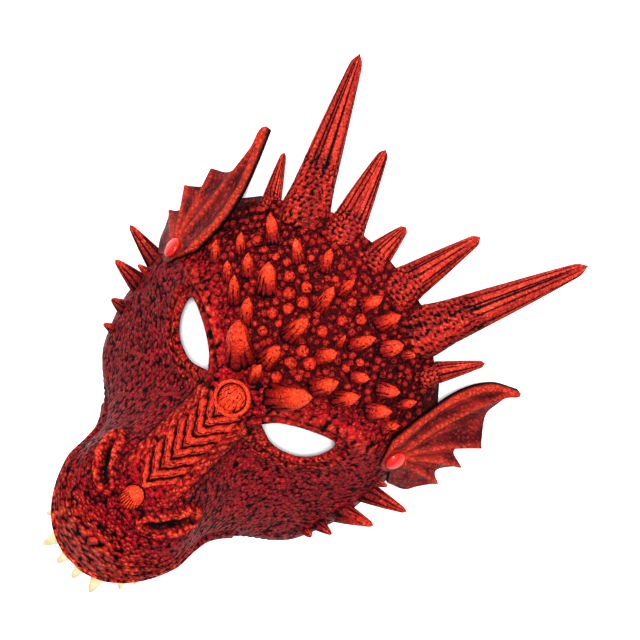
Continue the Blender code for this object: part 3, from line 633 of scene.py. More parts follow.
def buildCrown():
    random = np.random.default_rng(crownHorn["seed"])
    gathered = Gathered()
    for number, (root, tip, width) in enumerate(crownHorns):
        root = np.array(root, float)
        tip = np.array(tip, float)
        length = np.linalg.norm(tip - root)
        scaled = crownHorn["scaledLong"] if length > crownHorn["longFrom"] else crownHorn["scaledShort"]
        rows = max(crownHorn["fewestRows"], round(crownHorn["scaleRows"] * length / crownHorn["rowsFor"]))

        def relief(t, a):
            grooves = grooveField(t, a, crownHorn, random, scaled - crownHorn["grooveLead"])
            wander = 0.22 * np.sin(a * 3 + number) + 0.16 * np.sin(a * 7 + t * 5)
            rowPlace = t / scaled * rows + wander
            row = np.floor(rowPlace)
            column = a / (2 * math.pi) * crownHorn["scaleColumns"] + 0.5 * (row % 2) + 0.2 * np.sin(row * 2.4)
            within = rowPlace - row
            scale = np.sqrt(limited(1 - stripes(column) ** 2 - 0.55 * (within - 0.35) ** 2 * 4))
            zone = ease(scaled + 0.03, scaled - 0.05, t)
            gap = ease(0.34, 0.08, scale) * zone
            cut = crownHorn["depth"] * (grooves * (1 - 0.35 * t) + 0.75 * gap)
            wearAndHighlight = 0.45 + 0.55 * np.sin(a * 2 + number * 1.7 + t * 3) ** 2
            scaleTop = ease(0.2, 0.8, scale) * (0.2 + 0.8 * ease(0.1, 0.8, within))
            rise = (0.1 + 0.8 * scaleTop * zone + 0.68 * (1 - zone)) * wearAndHighlight
            rise = rise * (1 - 0.8 * grooves) * (1 - underside(a))
            shade = 0.25 * ease(0.15, -0.05, t) + 0.2 * np.cos(a * 2 + number) ** 2
            shade = shade + 0.12 * zone * (1 - within)
            sink = 0.62 * gap + 0.6 * grooves + 0.9 * underside(a) + shade * (1 - rise)
            return cut, rise, limited(sink)

        gathered.add(*hornForm(root, tip, width, crownHorn, relief, (0, 0, crownHorn["bow"] * length)))
    return gathered.finish("crownHorns")


cheekSpike = {
    "sides": 36, "rings": 36, "start": -0.12, "flat": 0.75,
    "base": 1.05, "fall": 0.62, "bend": 0.25, "flare": (0, 0, 1), "blunt": (0.9, 1.01), "bluntPower": 2,
    "grooves": 9, "grooveStart": 0.0, "grooveEnds": (0.75, 1.15), "depth": 0.14, "seed": 12,
}


def buildCheekSpikes():
    random = np.random.default_rng(cheekSpike["seed"])
    gathered = Gathered()

    def relief(t, a):
        grooves = grooveField(t, a, cheekSpike, random, cheekSpike["grooveStart"])
        rise = (0.15 + 0.6 * ease(0.2, 0.7, t)) * (1 - grooves) * (1 - underside(a))
        sink = 0.85 * grooves + 0.9 * underside(a) + 0.4 * ease(0.3, 0.0, t)
        return cheekSpike["depth"] * grooves, rise, limited(sink)

    for root, tip, width in cheekSpikes:
        gathered.add(*hornForm(np.array(root, float), np.array(tip, float), width, cheekSpike, relief))
    return gathered.finish("cheekSpikes")


tooth = {
    "sides": 20, "rings": 16, "start": -0.3, "flat": 0.8,
    "base": 1, "fall": 0.25, "bend": 0.45, "flare": (0, 0, 1), "blunt": (0.8, 1.02), "bluntPower": 2,
    "bow": 0.12, "aimFront": (0, -0.97, -0.24), "aimSide": (0.4, -0.88, -0.25),
    "setBack": 0.35, "setUp": 1 / 8,
}

# Teeth of one side: distance along the lip, length and width
teeth = (
    (6, 11.9, 7.5), (17, 17, 9), (31, 11, 6), (39, 9, 5), (47, 8, 4.5), (58, 6, 4), (70, 6, 4), (86, 8, 5),
)


# Teeth point ahead at the front of the lip and turn outwards along its side
def buildTeeth(grid):
    lip = np.concatenate([grid[-1, face["columns"] - 1:], grid[-2:lipRow():-1, -1]])
    steps = np.concatenate([[0], np.cumsum(np.linalg.norm(np.diff(lip, axis=0), axis=1))])
    front = np.array(tooth["aimFront"])
    aside = np.array(tooth["aimSide"])
    wall = face["wall"]
    gathered = Gathered()

    def relief(t, a):
        return 0.03 * np.sin(3 * a + 2), ease(0.3, 0.9, t), ease(0.32, 0.12, t)

    for side in (-1, 1):
        for distance, length, width in teeth:
            place = np.array([np.interp(distance, steps, lip[:, k]) for k in range(3)])
            inward = unit(np.array((-place[0], place[0] / 3 + wall, 0.0)))
            reach = unit(front + (aside - front) * min(1.0, distance / teeth[2][0]))
            root = (place + inward * wall * tooth["setBack"] + (0, 0, wall * tooth["setUp"])) * (side, 1, 1)
            tip = root + reach * (side, 1, 1) * length
            gathered.add(*hornForm(root, tip, width, tooth, relief, (0, 0, tooth["bow"] * length)))
    return gathered.finish("teethRow")


# A dome over the face as rings from its edge to its middle, with a closed bottom
def domeForm(centre, axis, spec, profile, relief):
    axis = unit(axis)
    ahead = np.array((0, 1.0, 0))
    ahead = unit(ahead - axis * (ahead @ axis))
    across = np.cross(ahead, axis)
    steps, heights = np.array(profile, float).T
    s, a = np.meshgrid(np.arange(len(profile)), around(spec["sides"]), indexing="ij")
    share = steps[s]
    lift, rise, sink = relief(share, a)
    height = heights[s] + lift
    height[0] = -spec["foot"]
    forwards = ahead * (np.sin(a) * share * spec["length"] / 2)[..., None]
    sidewards = across * (np.cos(a) * share * spec["width"] / 2)[..., None]
    ring = centre + forwards + sidewards + axis * height[..., None]
    ends = [centre - axis * spec["foot"], centre + axis * (heights[-1] + lift[-1].mean())]
    values = paintValues(rise, sink, (0, rise[-1].mean()), (1, sink[-1].mean()))
    return np.concatenate([ring.reshape(-1, 3), ends]), tubeFaces(len(profile), spec["sides"]), values


# The boss between the eyes: a raised rim, a moat, and a fanned dome in the middle
boss = {
    "length": 19.5, "width": 19.5, "sides": 96, "place": (0, 0), "foot": 2.2,
    "rimHeight": 1.4, "rimSwell": 1.1, "rimWidth": 0.10, "moat": (0.765, 0.03), "domeReach": 0.73,
    "domeFoot": 0.5, "domeHeight": 4.4, "fans": 4.5,
}


def buildBoss(surface):
    centre, normal = surface.above(*boss["place"])
    rim = boss["rimHeight"]
    profile = [(1.0, 0.0), (1.0, 0.6), (1.0, rim)]
    for a in np.linspace(0.2, math.pi, 9):
        profile.append((1 - boss["rimWidth"] * (1 - math.cos(a)), rim + boss["rimSwell"] * math.sin(a)))
    profile += [(0.79, 0.6), (0.77, 0.2), (0.74, 0.3)]
    for a in np.linspace(0.08, math.pi / 2 - 0.04, 18):
        profile.append((boss["domeReach"] * math.cos(a), boss["domeFoot"] + boss["domeHeight"] * math.sin(a)))

    def relief(share, a):
        x = np.cos(a) * share
        spoke = x / (1.05 - 0.55 * np.sin(a) * share) * boss["fans"]
        grooves = ease(0.34, 0.06, stripes(spoke + 0.12 * np.sin(a * 5) + 0.5)) * ease(0.74, 0.70, share)
        grooves = grooves * ease(0.02, 0.25, share) * (0.5 + 0.5 * np.sin(a * 3 + share * 5) ** 2)
        moat = ridgeAt(share, boss["moat"])
        return -0.55 * grooves, limited(1.0 - 0.85 * grooves - moat), limited(0.75 * grooves + moat)

    return makeObject("browBoss", *domeForm(centre, normal, boss, profile, relief))


noseBump = {"length": 14.5, "width": 12, "height": 4.9, "place": (0, -68), "sides": 72, "foot": 2.0,
            "fans": 7}


def buildNoseBump(surface):
    centre, normal = surface.above(*noseBump["place"])
    profile = [(1.0, -0.4), (1.0, 0.3)]
    for a in np.linspace(0.1, math.pi / 2 - 0.04, 22):
        profile.append((math.cos(a), noseBump["height"] * math.sin(a)))

    def relief(share, a):
        x = np.cos(a) * share
        y = np.sin(a) * share
        spoke = x / (1.25 - 0.75 * y) * noseBump["fans"]
        grooves = ease(0.5, 0.08, stripes(spoke + 0.5)) * ease(0.35, -0.15, y)
        sink = 0.8 * grooves + ease(0.9, 1.0, share) * 0.7
        return -0.7 * grooves, limited(1 - 0.9 * grooves), limited(sink)

    return makeObject("noseBump", *domeForm(centre, normal, noseBump, profile, relief))


# The raised strip on the snout with its chevrons
plate = {
    "columns": 57, "rows": 190, "width": 21, "height": 1.2, "crest": 1.9, "pitch": 7.2, "slope": 1.3,
    "start": -9.5, "stop": -61, "topEnd": 4, "gap": 0.6, "line": 0.45, "edge": 1.2, "depth": 5.5,
}


def buildPlate(surface):
    across = np.linspace(-1, 1, plate["columns"])
    along = np.linspace(plate["start"], plate["stop"], plate["rows"])
    top = np.zeros((len(along), len(across), 3))
    rise = np.zeros(top.shape[:2])
    sink = np.zeros(top.shape[:2])
    for r, reach in enumerate(along):
        share = r / (len(along) - 1)
        for c, side in enumerate(across):
            x = plate["width"] / 2 * side
            y = min(plate["start"] + plate["topEnd"], reach + plate["slope"] * abs(x) * (1 - 0.1 * share))
            place, normal = surface.above(x, y)
            wander = 0.05 * math.sin(x * 1.1 + reach * 0.31) + 0.04 * math.sin(x * 2.3 - reach * 0.17)
            saw = ((reach - plate["start"]) / plate["pitch"] + wander + 0.5) % 1
            gap = ease(0.14, 0.05, min(saw, 1 - saw))
            line = ease(0.07, 0.02, abs(saw - 0.36)) * (0.8 if abs(side) < 0.75 else 0.3)
            edge = ease(0.82 + 0.10 * math.sin(reach * 0.9), 1.0, abs(side))
            crown = max(0.0, math.sin(math.pi * (saw - 0.1) / 0.8)) ** 0.6
            wearAndHighlight = 0.5 + 0.5 * math.sin(x * 0.55 + reach * 0.4) * math.sin(x * 0.9 - reach * 0.23)
            height = plate["height"] + plate["crest"] * crown * (0.7 + 0.3 * wearAndHighlight)
            height -= plate["gap"] * gap + plate["line"] * line + plate["edge"] * edge
            top[r, c] = place + normal * height
            rise[r, c] = (0.35 + 0.5 * wearAndHighlight) * (1 - 0.5 * edge) * (1 - gap) * (0.5 + 0.5 * crown)
            sink[r, c] = min(1.0, 0.95 * gap + 0.7 * line + 0.45 * edge)
    rows, columns = rise.shape
    bottom = np.stack([top[:, 0], top[:, -1]], 1) - (0, 0, plate["depth"])
    offset = rows * columns
    faces = gridFaces(rows, columns)
    for r in range(rows - 1):
        left = offset + 2 * r
        a = r * columns
        b = a + columns - 1
        faces.append((left, left + 1, left + 3, left + 2))
        faces.append((a, left, left + 2, a + columns))
        faces.append((b, b + columns, left + 3, left + 1))
    last = (rows - 1) * columns
    backEdge = tuple(range(last + columns - 1, last - 1, -1))
    faces.append(tuple(range(columns)) + (offset + 1, offset))
    faces.append(backEdge + (offset + 2 * rows - 2, offset + 2 * rows - 1))
    points = np.concatenate([top.reshape(-1, 3), bottom.reshape(-1, 3)])
    values = paintValues(rise, sink, np.zeros(2 * rows), np.ones(2 * rows))
    return makeObject("snoutPlate", points, faces, values)


# Ear fins and their rivets. The fins' points run up the front ridge, down the scalloped edge and back.
fin = {
    "thickness": 3.0, "seat": 1.6, "gap": 0.3, "rings": 44, "innerReach": 2.6, "curl": 1.7, "thinning": 0.45,
    "ridgePoints": 46, "scallopPoints": 25, "lowPoints": 19, "lowShare": 0.55,
    "tabRadius": 8.5, "tabTurn": (65, -50), "tabPoints": 16, "tabEdge": (9.5, 6.5),
    "rib": 1.7, "ribWidths": (2.3, 1.1), "ribReach": 0.985, "halfRib": 0.45, "halfRibWidth": 1.1,
    "halfRibReach": (0.25, 0.8), "ridge": 2.2, "ridgeShape": (1.6, 2.5), "ridgeShadow": (6.6, 1.0),
    "ridgeStep": 5, "wave": 0.25,
}
fins = {
    "left": {
        "rivet": (79, 18, 33),
        "ridge": ((73, 28, 41), (75, 50, 41), (79, 73, 40), (87, 88, 40), (99, 95, 38)),
        "edge": ((97, 71, 28), (108, 52, 20), (100, 39, 17), (109, 33, 12), (102, 22, 13), (107, 16, 11)),
        "low": ((97, 2, 17), (88, 2, 26)),
    },
    "right": {
        "rivet": (-76, 14, 36),
        "ridge": ((-69, 26, 47), (-69, 46, 45), (-73, 64, 39), (-79, 78, 32), (-87, 94, 24)),
        "edge": ((-87, 62, 18), (-96, 51, 11), (-93, 42, 12), (-101, 32, 8), (-95, 22, 11), (-98, 16, 10)),
        "low": ((-91, 4, 19), (-85, 1, 27)),
    },
}


# The fin's outline, and the numbers of the points where its ribs end
def finOutline(spec, pivot, normal):
    edge = [np.array(point, float) for point in spec["ridge"][-1:] + spec["edge"]]
    low = np.array(spec["low"], float)
    outline = list(spread(spec["ridge"], fin["ridgePoints"]))
    marks = [0, len(outline) - 1]
    for i in range(0, len(edge) - 1, 2):
        outline += list(spread(edge[i:i + 3], fin["scallopPoints"])[1:])
        marks.append(len(outline) - 1)
    turnDown = low[0] * fin["lowShare"] + edge[-1] * (1 - fin["lowShare"])
    outline += list(spread([edge[-1], turnDown, low[0], low[1]], fin["lowPoints"])[1:])
    inner = pivot - outline[len(outline) // 2]
    inner = unit(inner - normal * (inner @ normal))
    across = np.cross(normal, inner)
    if across[1] > 0:
        across = -across
    for turn in np.linspace(*fin["tabTurn"], fin["tabPoints"]):
        angle = math.radians(turn)
        outline.append(pivot + (inner * math.cos(angle) + across * math.sin(angle)) * fin["tabRadius"])
    return np.array(outline), marks


# Two layers of rings joined at the outline and round the rivet
def finFaces(rings, count):
    layer = rings * count
    outer = (rings - 1) * count
    faces = []
    for s in range(count):
        t = (s + 1) % count
        for r in range(rings - 1):
            a = r * count + s
            b = r * count + t
            faces.append((a, b, b + count, a + count))
            faces.append((a + layer, a + count + layer, b + count + layer, b + layer))
        faces.append((s, s + layer, t + layer, t))
        faces.append((outer + s, outer + t, outer + t + layer, outer + s + layer))
    return faces


# A webbed fin: rings from the rivet out to the scalloped edge, with ribs and a thick front ridge
def buildFin(name, spec, spot, normal):
    pivot = spot + normal * (fin["seat"] + fin["gap"] + fin["thickness"])
    outline, marks = finOutline(spec, pivot, normal)
    straight = outline - pivot
    climb = straight @ normal
    flat = straight - np.outer(climb, normal)
    distance = np.linalg.norm(flat, axis=1)
    heading = flat / distance[:, None]
    share = np.linspace(0, 1, fin["rings"])[:, None]
    reach = fin["innerReach"] + (distance[None, :] - fin["innerReach"]) * share
    plane = heading[None] * reach[..., None]
    base = pivot + plane + normal * (climb[None, :] * share ** fin["curl"])[..., None]
    ribs = np.zeros(reach.shape)
    wide, narrowing = fin["ribWidths"]
    for mark in marks[1:]:
        away = pathDistance(plane, [flat[mark] * 0.0, flat[mark] * fin["ribReach"]])
        ribs = np.maximum(ribs, hump(away, wide - narrowing * share))
    foot, head = fin["halfRibReach"]
    for first, following in zip(marks[1:], marks[2:]):
        target = (flat[first] * 0.5 + flat[following] * 0.5) * head
        away = pathDistance(plane, [target * foot, target])
        ribs = np.maximum(ribs, fin["halfRib"] * hump(away, fin["halfRibWidth"]))
    away = pathDistance(plane, flat[marks[0]:marks[1] + 1:fin["ridgeStep"]])
    ridge = ridgeAt(away, fin["ridgeShape"])
    onTab = ease(*fin["tabEdge"], reach)
    wave = np.sin(reach * 0.55 + np.arange(len(outline))[None, :] * 0.12) * (1 - np.maximum(ribs, ridge))
    lift = (fin["rib"] * ribs + fin["ridge"] * ridge + fin["wave"] * wave) * (1 - onTab)
    top = base + normal * lift[..., None]
    bottom = base - normal * fin["thickness"] * (1 - fin["thinning"] * share[..., None])
    points = np.concatenate([top.reshape(-1, 3), bottom.reshape(-1, 3)])
    rise = limited(limited(0.85 * ribs + ridge) + 0.25 * onTab)
    rim = ease(0.93, 1.0, share) * np.ones(len(outline))
    sink = limited(0.5 * ridgeAt(away, fin["ridgeShadow"]) * (1 - ribs) + 0.4 * rim * (1 - rise))
    values = paintValues(rise, sink, np.zeros(rise.size), np.ones(sink.size))
    return makeObject(name, points, finFaces(*reach.shape), values)


rivet = {"headDiameter": 11.5, "headHeight": 2.8, "headEdge": 0.5, "headRound": 0.8, "shank": 2,
         "tailDiameter": 9, "tailGap": 0.9, "tailHeight": 1.3, "tailRound": 0.1, "tailTop": 0.6, "sides": 64}


# Head, shank and tail of a rivet as rings, given as radius and height
def buildRivet(name, spot, normal):
    under = fin["seat"] + 2 * fin["gap"] + fin["thickness"]
    head = rivet["headDiameter"] / 2
    foot = rivet["tailDiameter"] / 2
    tail = -face["wall"] - rivet["tailGap"]
    end = tail - rivet["tailHeight"]
    top = under + rivet["headHeight"]
    outline = [(foot * rivet["tailTop"], end - rivet["tailRound"]), (foot, end), (foot, tail)]
    outline += [(rivet["shank"], tail), (rivet["shank"], under), (head * 0.97, under)]
    edge = rivet["headEdge"]
    for a in np.linspace(0.0, math.pi / 2 - 0.03, 16):
        height = under + edge + (top - under - edge) * math.sin(a)
        outline.append((head * math.cos(a) ** rivet["headRound"], height))
    level, upward = sideways(normal)
    turn = around(rivet["sides"])[:, None]
    circle = level * np.cos(turn) + upward * np.sin(turn)
    rings = [spot + normal * height + circle * radius for radius, height in outline]
    points = np.concatenate(rings + [[spot + normal * outline[0][1], spot + normal * top]])
    return makeObject(name, points, tubeFaces(len(outline), rivet["sides"]))


# Lumpy balls with crescent grooves, set on the forehead by Geometry Nodes
nodule = {"sides": 30, "rings": 18, "craters": 2, "swell": 1.15, "sunk": 0, "tilts": (0.12, 0.62 * math.pi),
          "pit": (0.55, 0.10), "pitDepth": 0.12, "ringWidth": 0.42, "ringHeight": 0.05,
          "poles": (-0.5, 0.98), "seed": 21}

# Nodules: place across and along, diameter
nodules = (
    (-48, 56, 5.6), (-42, 57, 4.1), (-35, 60, 4.1), (-29, 63, 4.5), (-21, 67, 5.0), (-23, 60, 6.0),
    (-13, 63, 6.0), (-9, 57, 6.5), (-17, 55, 6.5), (-12, 50, 6.0), (-16, 43, 6.0), (-10, 42, 4.0),
    (-13, 34, 5.5), (0, 58, 4.0), (-6, 75, 4.0), (-22, 73, 4.0), (8, 73, 5.0), (17, 70, 6.0),
    (11, 64, 5.5), (8, 54, 6.0), (8, 41, 6.5), (15, 39, 7.0), (8, 33, 6.5), (16, 30, 4.0),
    (8, 23, 6.0), (29, 48, 4.5), (32, 54, 4.5),
)

# Small pebbles that fill the forehead between the horns and the nodules
ground = {"sides": 12, "rings": 8, "craters": 2, "swell": 1.0, "sunk": 0.8, "pitch": 4.2, "rowShare": 0.87,
          "sway": 0.8, "widths": (2.4, 5.2), "reach": (80, 84), "start": 15, "columns": 20,
          "front": (14, 0.25), "hornRoom": 0.55, "noduleRoom": 0.5, "gap": 0.15, "seed": 5}


def groundSpots():
    random = np.random.default_rng(ground["seed"])
    taken = [(x, y, width * ground["hornRoom"]) for x, y, heading, length, width in foreheadHorns]
    taken += [(x, y, width * ground["noduleRoom"]) for x, y, width in nodules]
    taken = np.array(taken)
    reachAcross, reachAlong = ground["reach"]
    start, slant = ground["front"]
    sway = ground["sway"]
    found = []
    rowPitch = ground["pitch"] * ground["rowShare"]
    for row in range(int(reachAlong / rowPitch) + 1):
        rowY = ground["start"] + row * rowPitch
        for column in range(-ground["columns"], ground["columns"] + 1):
            x = (column + 0.5 * (row % 2)) * ground["pitch"] + random.uniform(-sway, sway)
            y = rowY + random.uniform(-sway, sway)
            width = random.uniform(*ground["widths"])
            inside = (x / reachAcross) ** 2 + ((y - ground["start"]) / reachAlong) ** 2 < 1
            away = np.hypot(taken[:, 0] - x, taken[:, 1] - y) - taken[:, 2]
            if inside and y > start + slant * abs(x) and away.min() > ground["gap"] * width:
                found.append((x, y, width))
    return found


def lumpyBall(name, spec):
    random = np.random.default_rng(nodule["seed"])
    tilt = np.linspace(*nodule["tilts"], spec["rings"])[::-1]
    t, a = np.meshgrid(tilt, around(spec["sides"]), indexing="ij")
    direction = np.stack([np.sin(t) * np.cos(a), np.sin(t) * np.sin(a), np.cos(t)], -1)
    pits = unit(random.normal(size=(spec["craters"], 3)) * 0.5 + (0, 0, 0.9))
    away = np.arccos(np.clip(direction @ pits.T, -1, 1)).min(-1)
    pit = ridgeAt(away, nodule["pit"]) * (0.3 + 0.7 * np.sin(a * 0.5 + 0.4) ** 2)
    ring = hump(away, nodule["ringWidth"])
    lump = 0.06 * np.sin(a * 3 + t * 4) + 0.04 * np.sin(a * 5 - t * 6)
    radius = 1 - nodule["pitDepth"] * pit + nodule["ringHeight"] * ring + lump
    ends = [(0, 0, pole) for pole in nodule["poles"]]
    points = np.concatenate([(direction * radius[..., None]).reshape(-1, 3), ends])
    rise = limited(0.65 * ease(0.35, 0.98, np.cos(t)) + 0.3 * ring - pit)
    sink = limited(0.7 * pit + ease(0.45, 0.0, np.cos(t)))
    values = paintValues(rise, sink, (0, 0.5), (0, 0.5))
    return fillMesh(name, points, tubeFaces(spec["rings"], spec["sides"]), values)


# A node tree that makes each node in one way, and a wire that is one value in it
class Nodes:
    def __init__(self, tree):
        self.tree = tree

    # The settings of a kind of node come first, then the values or wires of its inputs
    def node(self, kind, settings, inputs, *outputs):
        made = self.tree.nodes.new(kind)
        for name, value in settings.items():
            setattr(made, name, value)
        for key, value in inputs.items():
            self.join(made.inputs[key], value)
        wires = [Wire(self, made.outputs[key]) for key in outputs]
        return wires[0] if len(wires) == 1 else wires

    def join(self, socket, value):
        if isinstance(value, Wire):
            self.tree.links.new(value.socket, socket)
        else:
            socket.default_value = value


class Wire:
    def __init__(self, nodes, socket):
        self.nodes = nodes
        self.socket = socket

    def maths(self, operation, *others, clamp=False):
        settings = {"operation": operation, "use_clamp": clamp}
        return self.nodes.node("ShaderNodeMath", settings, dict(enumerate((self,) + others)), 0)

    def __add__(self, other):
        return self.maths("ADD", other)

    def __radd__(self, other):
        return self.maths("ADD", other)

    def __mul__(self, other):
        return self.maths("MULTIPLY", other)

    def __rmul__(self, other):
        return self.maths("MULTIPLY", other)

    def __sub__(self, other):
        return self.maths("SUBTRACT", other)

    def __rsub__(self, other):
        return (self * -1.0) + other

    def clamped(self):
        return self.maths("ADD", 0.0, clamp=True)

    def highest(self, other):
        return self.maths("MAXIMUM", other)

    def ease(self, low, high):
        limits = {"Value": self, "From Min": low, "From Max": high}
        return self.nodes.node("ShaderNodeMapRange", {"interpolation_type": "SMOOTHSTEP"}, limits, "Result")


# Geometry Nodes: one copy of a form on each point, turned to the point's direction and spun at random
def scatterTree(form, material):
    tree = bpy.data.node_groups.new("Copies on points", "GeometryNodeTree")
    tree.interface.new_socket("Geometry", in_out="INPUT", socket_type="NodeSocketGeometry")
    scaleInput = tree.interface.new_socket("Size factor", in_out="INPUT", socket_type="NodeSocketFloat")
    tree.interface.new_socket("Geometry", in_out="OUTPUT", socket_type="NodeSocketGeometry")
    node = Nodes(tree).node
    named = "GeometryNodeInputNamedAttribute"
    points, factor = node("NodeGroupInput", {}, {}, "Geometry", "Size factor")
    outward = node(named, {"data_type": "FLOAT_VECTOR"}, {"Name": "outward"}, "Attribute")
    size = node(named, {"data_type": "FLOAT"}, {"Name": "size"}, "Attribute")
    upright = node("FunctionNodeAlignRotationToVector", {"axis": "Z"}, {"Vector": outward}, "Rotation")
    spinRange = {2: 0.0, 3: 6.283, "Seed": nodule["seed"]}
    spin = node("FunctionNodeRandomValue", {"data_type": "FLOAT"}, spinRange, 1)
    turn = node("FunctionNodeAxisAngleToRotation", {}, {"Angle": spin}, "Rotation")
    turned = {"Rotation": upright, "Rotate By": turn}
    rotation = node("FunctionNodeRotateRotation", {"rotation_space": "LOCAL"}, turned, "Rotation")
    source = node("GeometryNodeObjectInfo", {}, {"Object": form}, "Geometry")
    placed = {"Points": points, "Instance": source, "Rotation": rotation, "Scale": size * factor}
    copies = node("GeometryNodeInstanceOnPoints", {}, placed, "Instances")
    real = node("GeometryNodeRealizeInstances", {}, {"Geometry": copies}, "Geometry")
    dressed = node("GeometryNodeSetMaterial", {}, {"Geometry": real, "Material": material}, "Geometry")
    node("NodeGroupOutput", {}, {"Geometry": dressed})
    return tree, scaleInput.identifier


def scatter(name, spots, spec, surface, form, material):
    seats = [surface.above(x, y) for x, y, width in spots]
    places = np.array([place - normal * spec["sunk"] for place, normal in seats])
    mesh = bpy.data.meshes.new(name)
    mesh.from_pydata(((places + shift) / 1000).tolist(), [], [])
    outward = mesh.attributes.new("outward", "FLOAT_VECTOR", "POINT")
    outward.data.foreach_set("vector", np.array([normal for place, normal in seats], np.float32).ravel())
    sizes = np.array([width / 2 * spec["swell"] for x, y, width in spots], np.float32)
    writeValues(mesh, {"size": sizes / 1000})
    obj = bpy.data.objects.new(name, mesh)
    bpy.context.scene.collection.objects.link(obj)
    tree, factor = scatterTree(form, material)
    modifier = obj.modifiers.new("Copies", "NODES")
    modifier.node_group = tree
    modifier[factor] = 1.0
    bakeModifiers(obj)
    bpy.data.objects.remove(form)
    return obj


# One material. Sizes of patterns are in millimetres.
class Look:
    def __init__(self, name):
        self.material = bpy.data.materials.new(name)
        self.material.use_nodes = True
        self.nodes = Nodes(self.material.node_tree)
        self.node = self.nodes.node
        self.shader = self.material.node_tree.nodes["Principled BSDF"]
        self.place = self.node("ShaderNodeTexCoord", {}, {}, "Object")

    def value(self, name):
        return self.node("ShaderNodeAttribute", {"attribute_name": name}, {}, "Fac")

    def noise(self, size, detail=2.0, roughness=0.5, output="Fac"):
        inputs = {"Vector": self.place, "Scale": 1000 / size, "Detail": detail, "Roughness": roughness}
        return self.node("ShaderNodeTexNoise", {}, inputs, output)

    def cellEdges(self, size, place):
        inputs = {"Vector": place, "Scale": 1000 / size}
        return self.node("ShaderNodeTexVoronoi", {"feature": "DISTANCE_TO_EDGE"}, inputs, "Distance")

    def pebbles(self, size, place):
        inputs = {"Vector": place, "Scale": 1000 / size}
        return self.node("ShaderNodeTexVoronoi", {}, inputs, "Distance", "Color")

    def warped(self, size, strength):
        inputs = {0: self.noise(size, output="Color"), 1: (strength / 1000,) * 3, 2: self.place}
        return self.node("ShaderNodeVectorMath", {"operation": "MULTIPLY_ADD"}, inputs, 0)

    def red(self, colour):
        return self.node("ShaderNodeSeparateColor", {}, {0: colour}, 0)

    def mix(self, factor, first, second):
        settings = {"data_type": "RGBA", "clamp_factor": True}
        return self.node("ShaderNodeMix", settings, {0: factor, 6: first, 7: second}, 2)

    def bump(self, height, reach, strength=1.0):
        inputs = {"Height": height, "Distance": reach / 1000, "Strength": strength}
        self.nodes.join(self.shader.inputs["Normal"], self.node("ShaderNodeBump", {}, inputs, "Normal"))

    def set(self, **sockets):
        for name, value in sockets.items():
            title = name.replace("_", " ").title().replace("Ior", "IOR")
            self.nodes.join(self.shader.inputs[title], value)


def mixed(first, second, share):
    return first + (second - first) * share


paint = {
    "black": (0.003, 0.002, 0.0025, 1),
    # Pale pink of the painted highlights, laid as glints on the scale tops and on the horns
    "wearAndHighlight": (0.90, 0.25, 0.12, 1),
    "deep": (0.12, 0.002, 0.009, 1),
    "crimson": (0.34, 0.005, 0.014, 1),
    "orange": (0.80, 0.075, 0.024, 1),
    "foam": (0.012, 0.011, 0.012, 1),
    "webDark": (0.06, 0.004, 0.008, 1),
    "webRed": (0.20, 0.014, 0.014, 1),
    "webFleck": (0.45, 0.050, 0.025, 1),
    "cream": (0.80, 0.72, 0.50, 1),
    "oldCream": (0.62, 0.52, 0.30, 1),
    "toothTip": (0.30, 0.24, 0.14, 1),
    "gum": (0.10, 0.05, 0.03, 1),
    "rivetDark": (0.46, 0.014, 0.012, 1),
    "rivetRed": (0.60, 0.026, 0.016, 1),
    "floorDark": (0.90, 0.90, 0.90, 1),
    "floorPale": (0.93, 0.93, 0.93, 1),
}

# Paints of horns and bosses: feet and tips, the size of their skin's cells, soot, and the strength of the
# painted highlights on the brightest brushed paint
hornPaints = {
    "hornPaint": {"foot": (0.20, 0.004, 0.009, 1), "tip": (0.78, 0.065, 0.018, 1),
                  "cell": 2.6, "soot": 0.65, "wearAndHighlight": 0.4},
    "crownPaint": {"foot": (0.17, 0.003, 0.008, 1), "tip": (0.72, 0.058, 0.024, 1),
                   "cell": 2.2, "soot": 0.45, "wearAndHighlight": 0.7},
    "groundPaint": {"foot": (0.12, 0.002, 0.007, 1), "tip": (0.50, 0.026, 0.014, 1),
                    "cell": 2.0, "soot": 0.8, "wearAndHighlight": 0.35},
    "spikePaint": {"foot": (0.15, 0.003, 0.007, 1), "tip": (0.60, 0.035, 0.015, 1),
                   "cell": 2.4, "soot": 0.65, "wearAndHighlight": 0.7},
}
pebbleSizes = {"middle": 2.35, "fine": 1.9, "big": 3.7}
faceValues = ("rise", "sink", "fine", "big", "inside", "smooth")


